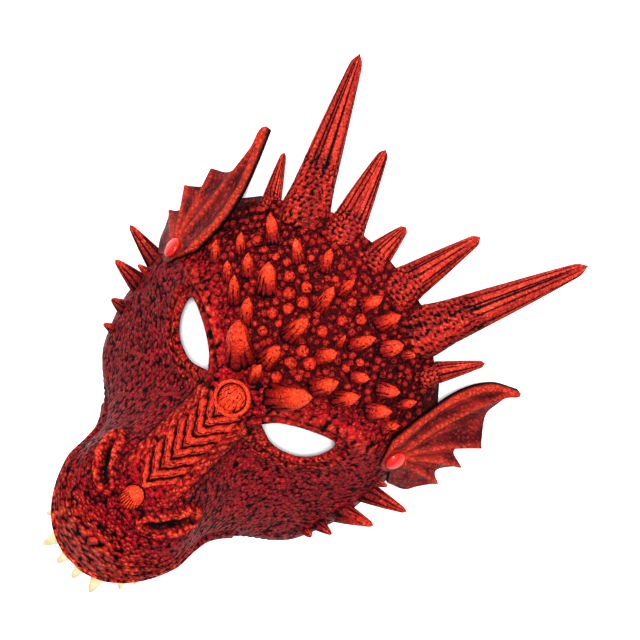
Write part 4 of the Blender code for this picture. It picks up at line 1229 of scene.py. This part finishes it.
# Airbrushed foam: black in the gaps, crimson on the scales, orange on what stands out
def faceLook():
    look = Look("facePaint")
    place = look.warped(6, 2.2)
    rise, sink, fine, big, inside, smooth = [look.value(name) for name in faceValues]
    away, colour = look.pebbles(pebbleSizes["middle"], place)
    awayFine = look.pebbles(pebbleSizes["fine"], place)[0]
    awayBig, colourBig = look.pebbles(pebbleSizes["big"], place)
    core = 1.0 - mixed(mixed(away, awayFine, fine), awayBig, big)
    tint = mixed(look.red(colour), look.red(colourBig), big)
    grain = look.noise(1.1, 3.0, 0.6)
    patch = look.noise(11, 3.0)
    gap = (1.0 - core.ease(0.25, 0.42)) * (1.0 - smooth * 0.8)
    top = core.ease(0.38, 0.8)
    soot = look.noise(4.5, 4.0, 0.65).ease(0.50, 0.64)
    red = look.mix((tint * 0.9 + patch * 0.8 - 0.3).clamped(), paint["deep"], paint["crimson"])
    brushed = (rise * 1.15 * (0.25 + top * 0.75 + smooth * 0.4) * (grain * 1.1 + 0.35)).clamped()
    red = look.mix((brushed + (tint * top - 0.7).clamped() * 0.7).clamped(), red, paint["orange"])
    dark = gap.highest(sink * (1.15 - top * 0.5)).highest(sink.ease(0.9, 1.0))
    dark = dark.highest(grain.ease(0.60, 0.74) * 0.6).highest(soot * (0.95 - top * 0.5)).clamped()
    # Painted highlights: pale pink glints on the scale tops where the grain is high, stronger where the paint
    # is brushed
    red = look.mix((top * grain.ease(0.50, 0.64) * (0.3 + rise * 0.5)).clamped(), red, paint["wearAndHighlight"])
    red = look.mix(dark, red, paint["black"])
    look.set(base_color=look.mix(inside.ease(0.3, 0.7), red, paint["foam"]))
    look.set(roughness=(0.28 + grain * 0.16 + dark * 0.3 + inside * 0.3).clamped(), specular_ior_level=0.05)
    look.bump(core.ease(0.3, 0.95) * (1.0 - inside) * (1.0 - smooth * 0.7) + grain * 0.2, 1.1)
    return look.material


# The paint of horns and bosses, whose grooves are in the mesh
def hornLook(name):
    spec = hornPaints[name]
    look = Look(name)
    rise = look.value("rise")
    sink = look.value("sink")
    grain = look.noise(1.0, 4.0, 0.65)
    patch = look.noise(7, 2.0)
    edge = look.cellEdges(spec["cell"], look.warped(3, 1.5))
    fleck = 1.0 - edge.ease(0.0, 0.10)
    brushed = (rise * (0.1 + grain * 1.5) * (0.45 + patch * 0.9)).clamped()
    red = look.mix(brushed, spec["foot"], spec["tip"])
    # Painted highlights: pale pink glints where the paint is brushed brightest
    red = look.mix((brushed * grain.ease(0.50, 0.68) * spec["wearAndHighlight"]).clamped(), red, paint["wearAndHighlight"])
    streaks = look.noise(1.6, 3.0, 0.6).ease(0.53, 0.67)
    dark = (sink.ease(0.10, 0.7) + fleck * 0.5 * (1.0 - rise * 0.5) + streaks * spec["soot"]).clamped()
    look.set(base_color=look.mix(dark, red, paint["black"]))
    look.set(roughness=(0.28 + grain * 0.2 + dark * 0.3).clamped(), specular_ior_level=0.10)
    look.bump(grain * 0.8 + edge.ease(0.0, 0.25) * 0.5 - streaks * 0.4, 0.4)
    return look.material


def finLook():
    look = Look("finPaint")
    rise = look.value("rise")
    sink = look.value("sink")
    grain = look.noise(0.9, 4.0, 0.7)
    patch = look.noise(9, 3.0)
    speckle = look.noise(1.7, 2.0, 0.5).ease(0.52, 0.66)
    web = look.mix(patch.ease(0.35, 0.7), paint["webDark"], paint["webRed"])
    web = look.mix(speckle * 0.5, web, paint["webFleck"])
    edge = look.cellEdges(2.6, look.warped(4, 1.5))
    red = look.mix((rise * grain * (0.5 + edge.ease(0.0, 0.3) * 0.8)).clamped(), web, paint["orange"])
    flecks = look.noise(1.4, 3.0, 0.6).ease(0.56, 0.70) * 0.5
    look.set(base_color=look.mix((sink.ease(0.15, 0.85) + flecks).clamped(), red, paint["black"]))
    look.set(roughness=(0.32 + grain * 0.2).clamped(), specular_ior_level=0.12)
    look.bump(grain + speckle * 0.5 + edge.ease(0.0, 0.2) * rise, 0.35)
    return look.material


def toothLook():
    look = Look("toothPaint")
    rise = look.value("rise")
    sink = look.value("sink")
    streak = look.noise(3, 3.0)
    cream = look.mix(streak, paint["cream"], paint["oldCream"])
    tipped = look.mix((rise * rise * 0.5 * streak).clamped(), cream, paint["toothTip"])
    look.set(base_color=look.mix(sink.ease(0.2, 0.9), tipped, paint["gum"]))
    look.set(roughness=(0.3 + streak * 0.15).clamped())
    look.bump(streak, 0.15, 0.6)
    return look.material


def rivetLook():
    look = Look("rivetGloss")
    cloud = look.noise(9, 1.0)
    look.set(base_color=look.mix(cloud, paint["rivetDark"], paint["rivetRed"]))
    look.set(roughness=(0.22 + cloud * 0.1).clamped(), coat_weight=0.2, specular_ior_level=0.3)
    look.bump(look.noise(5, 1.0), 0.05, 0.4)
    return look.material


def floorLook():
    look = Look("floorPale")
    look.set(base_color=look.mix(look.noise(400, 1.0), paint["floorDark"], paint["floorPale"]))
    look.set(roughness=0.9)
    return look.material


def wear(obj, material, node):
    obj.data.materials.clear()
    obj.data.materials.append(material)
    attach(obj, "root")
    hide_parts(node)


# The stage, in metres. The front light stands close to the camera's line.
studio = {"floor": 12, "strength": 0.2, "gamma": 0.8, "target": (0, 0, 0.04)}
lights = {
    "front": {"place": (0.055, 0.63, 1.44), "size": 0.14, "power": 40},
    "key": {"place": (-0.8, 0.7, 1.3), "size": 0.3, "power": 14},
    "fill": {"place": (1.1, 0.2, 1.0), "size": 0.8, "power": 6},
}
view = {"place": (34.0, 394.7, 904.0), "tilt": 22.0, "swing": 1.96, "roll": 1.64, "turn": 43.8,
        "lens": 101.32, "sensor": 36, "nearest": 0.01}


def addStage():
    bpy.ops.mesh.primitive_plane_add(size=studio["floor"], location=(0, 0, 0))
    floor = bpy.context.object
    floor.name = "floor"
    floor.data.materials.append(floorLook())


def addWorld():
    world = bpy.data.worlds.new("studio")
    world.use_nodes = True
    background = world.node_tree.nodes["Background"]
    background.inputs["Color"].default_value = (1, 1, 1, 1)
    background.inputs["Strength"].default_value = studio["strength"]
    scene = bpy.context.scene
    scene.world = world
    scene.view_settings.view_transform = "Standard"
    scene.view_settings.gamma = studio["gamma"]


def addLight(name, spec):
    light = bpy.data.lights.new(name, "AREA")
    light.size = spec["size"]
    light.energy = spec["power"]
    obj = bpy.data.objects.new(name, light)
    bpy.context.scene.collection.objects.link(obj)
    obj.location = spec["place"]
    course = Vector(studio["target"]) - Vector(spec["place"])
    obj.rotation_euler = course.to_track_quat("-Z", "Y").to_euler()


# The camera looks from in front and above, turned about its own line as the photograph is
def addCamera():
    tilt, swing, roll, turn = [math.radians(view[key]) for key in ("tilt", "swing", "roll", "turn")]
    back = Vector((math.sin(swing), math.cos(swing) * math.sin(tilt), math.cos(swing) * math.cos(tilt)))
    side = Vector((math.cos(swing), -math.sin(swing) * math.sin(tilt), -math.sin(swing) * math.cos(tilt)))
    rise = back.cross(side)
    level = side * math.cos(roll) + rise * math.sin(roll)
    tall = rise * math.cos(roll) - side * math.sin(roll)
    right = level * math.cos(turn) + tall * math.sin(turn)
    upward = tall * math.cos(turn) - level * math.sin(turn)
    camera = bpy.data.objects.new("photoCamera", bpy.data.cameras.new("photoCamera"))
    bpy.context.scene.collection.objects.link(camera)
    camera.data.lens = view["lens"]
    camera.data.sensor_width = view["sensor"]
    camera.data.clip_start = view["nearest"]
    camera.data.dof.use_dof = False
    place = Vector((np.array(view["place"]) + shift) / 1000)
    camera.matrix_world = Matrix.Translation(place) @ Matrix((right, upward, back)).transposed().to_4x4()
    bpy.context.scene.camera = camera


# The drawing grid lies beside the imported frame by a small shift
shellLow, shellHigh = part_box("mask_shell")
spikeReach = -min(spike[1][0] for spike in cheekSpikes)
hornReach = max(horn[1][1] for horn in crownHorns)
shift = np.array([shellLow.x * 1000 + spikeReach, shellHigh.y * 1000 - hornReach, 0.0])

grid = buildGrid()
surface = Surface(grid)
shell = buildFace(grid)
print("face", len(shell.data.polygons))
facePaint = faceLook()
hornPaint, crownPaint, groundPaint, spikePaint = [hornLook(name) for name in hornPaints]
wear(shell, facePaint, "mask_shell")
wear(buildForehead(surface), hornPaint, "mask_shell")
wear(buildCrown(), crownPaint, "mask_shell")
wear(buildCheekSpikes(), spikePaint, "mask_shell")
print("horns")
ball = lumpyBall("noduleForm", nodule)
nodulePieces = scatter("foreheadNodules", nodules, nodule, surface, ball, hornPaint)
wear(nodulePieces, hornPaint, "mask_shell")
spots = groundSpots()
pebble = lumpyBall("pebbleForm", ground)
pebblePieces = scatter("foreheadPebbles", spots, ground, surface, pebble, groundPaint)
wear(pebblePieces, groundPaint, "mask_shell")
print("pebbles", len(spots))
wear(buildBoss(surface), hornPaint, "mask_shell")
wear(buildNoseBump(surface), hornPaint, "mask_shell")
wear(buildPlate(surface), hornPaint, "mask_shell")
wear(buildTeeth(grid), toothLook(), "mask_shell")
print("snout and teeth")
finPaint = finLook()
rivetPaint = rivetLook()
for side in ("left", "right"):
    spot, normal = surface.nearest(fins[side]["rivet"])
    wear(buildFin(side + "EarFin", fins[side], spot, normal), finPaint, "fin_" + side)
    wear(buildRivet(side + "Rivet", spot, normal), rivetPaint, "rivet_" + side)
print("fins and rivets")
addStage()
addWorld()
for name, spec in lights.items():
    addLight(name, spec)
addCamera()
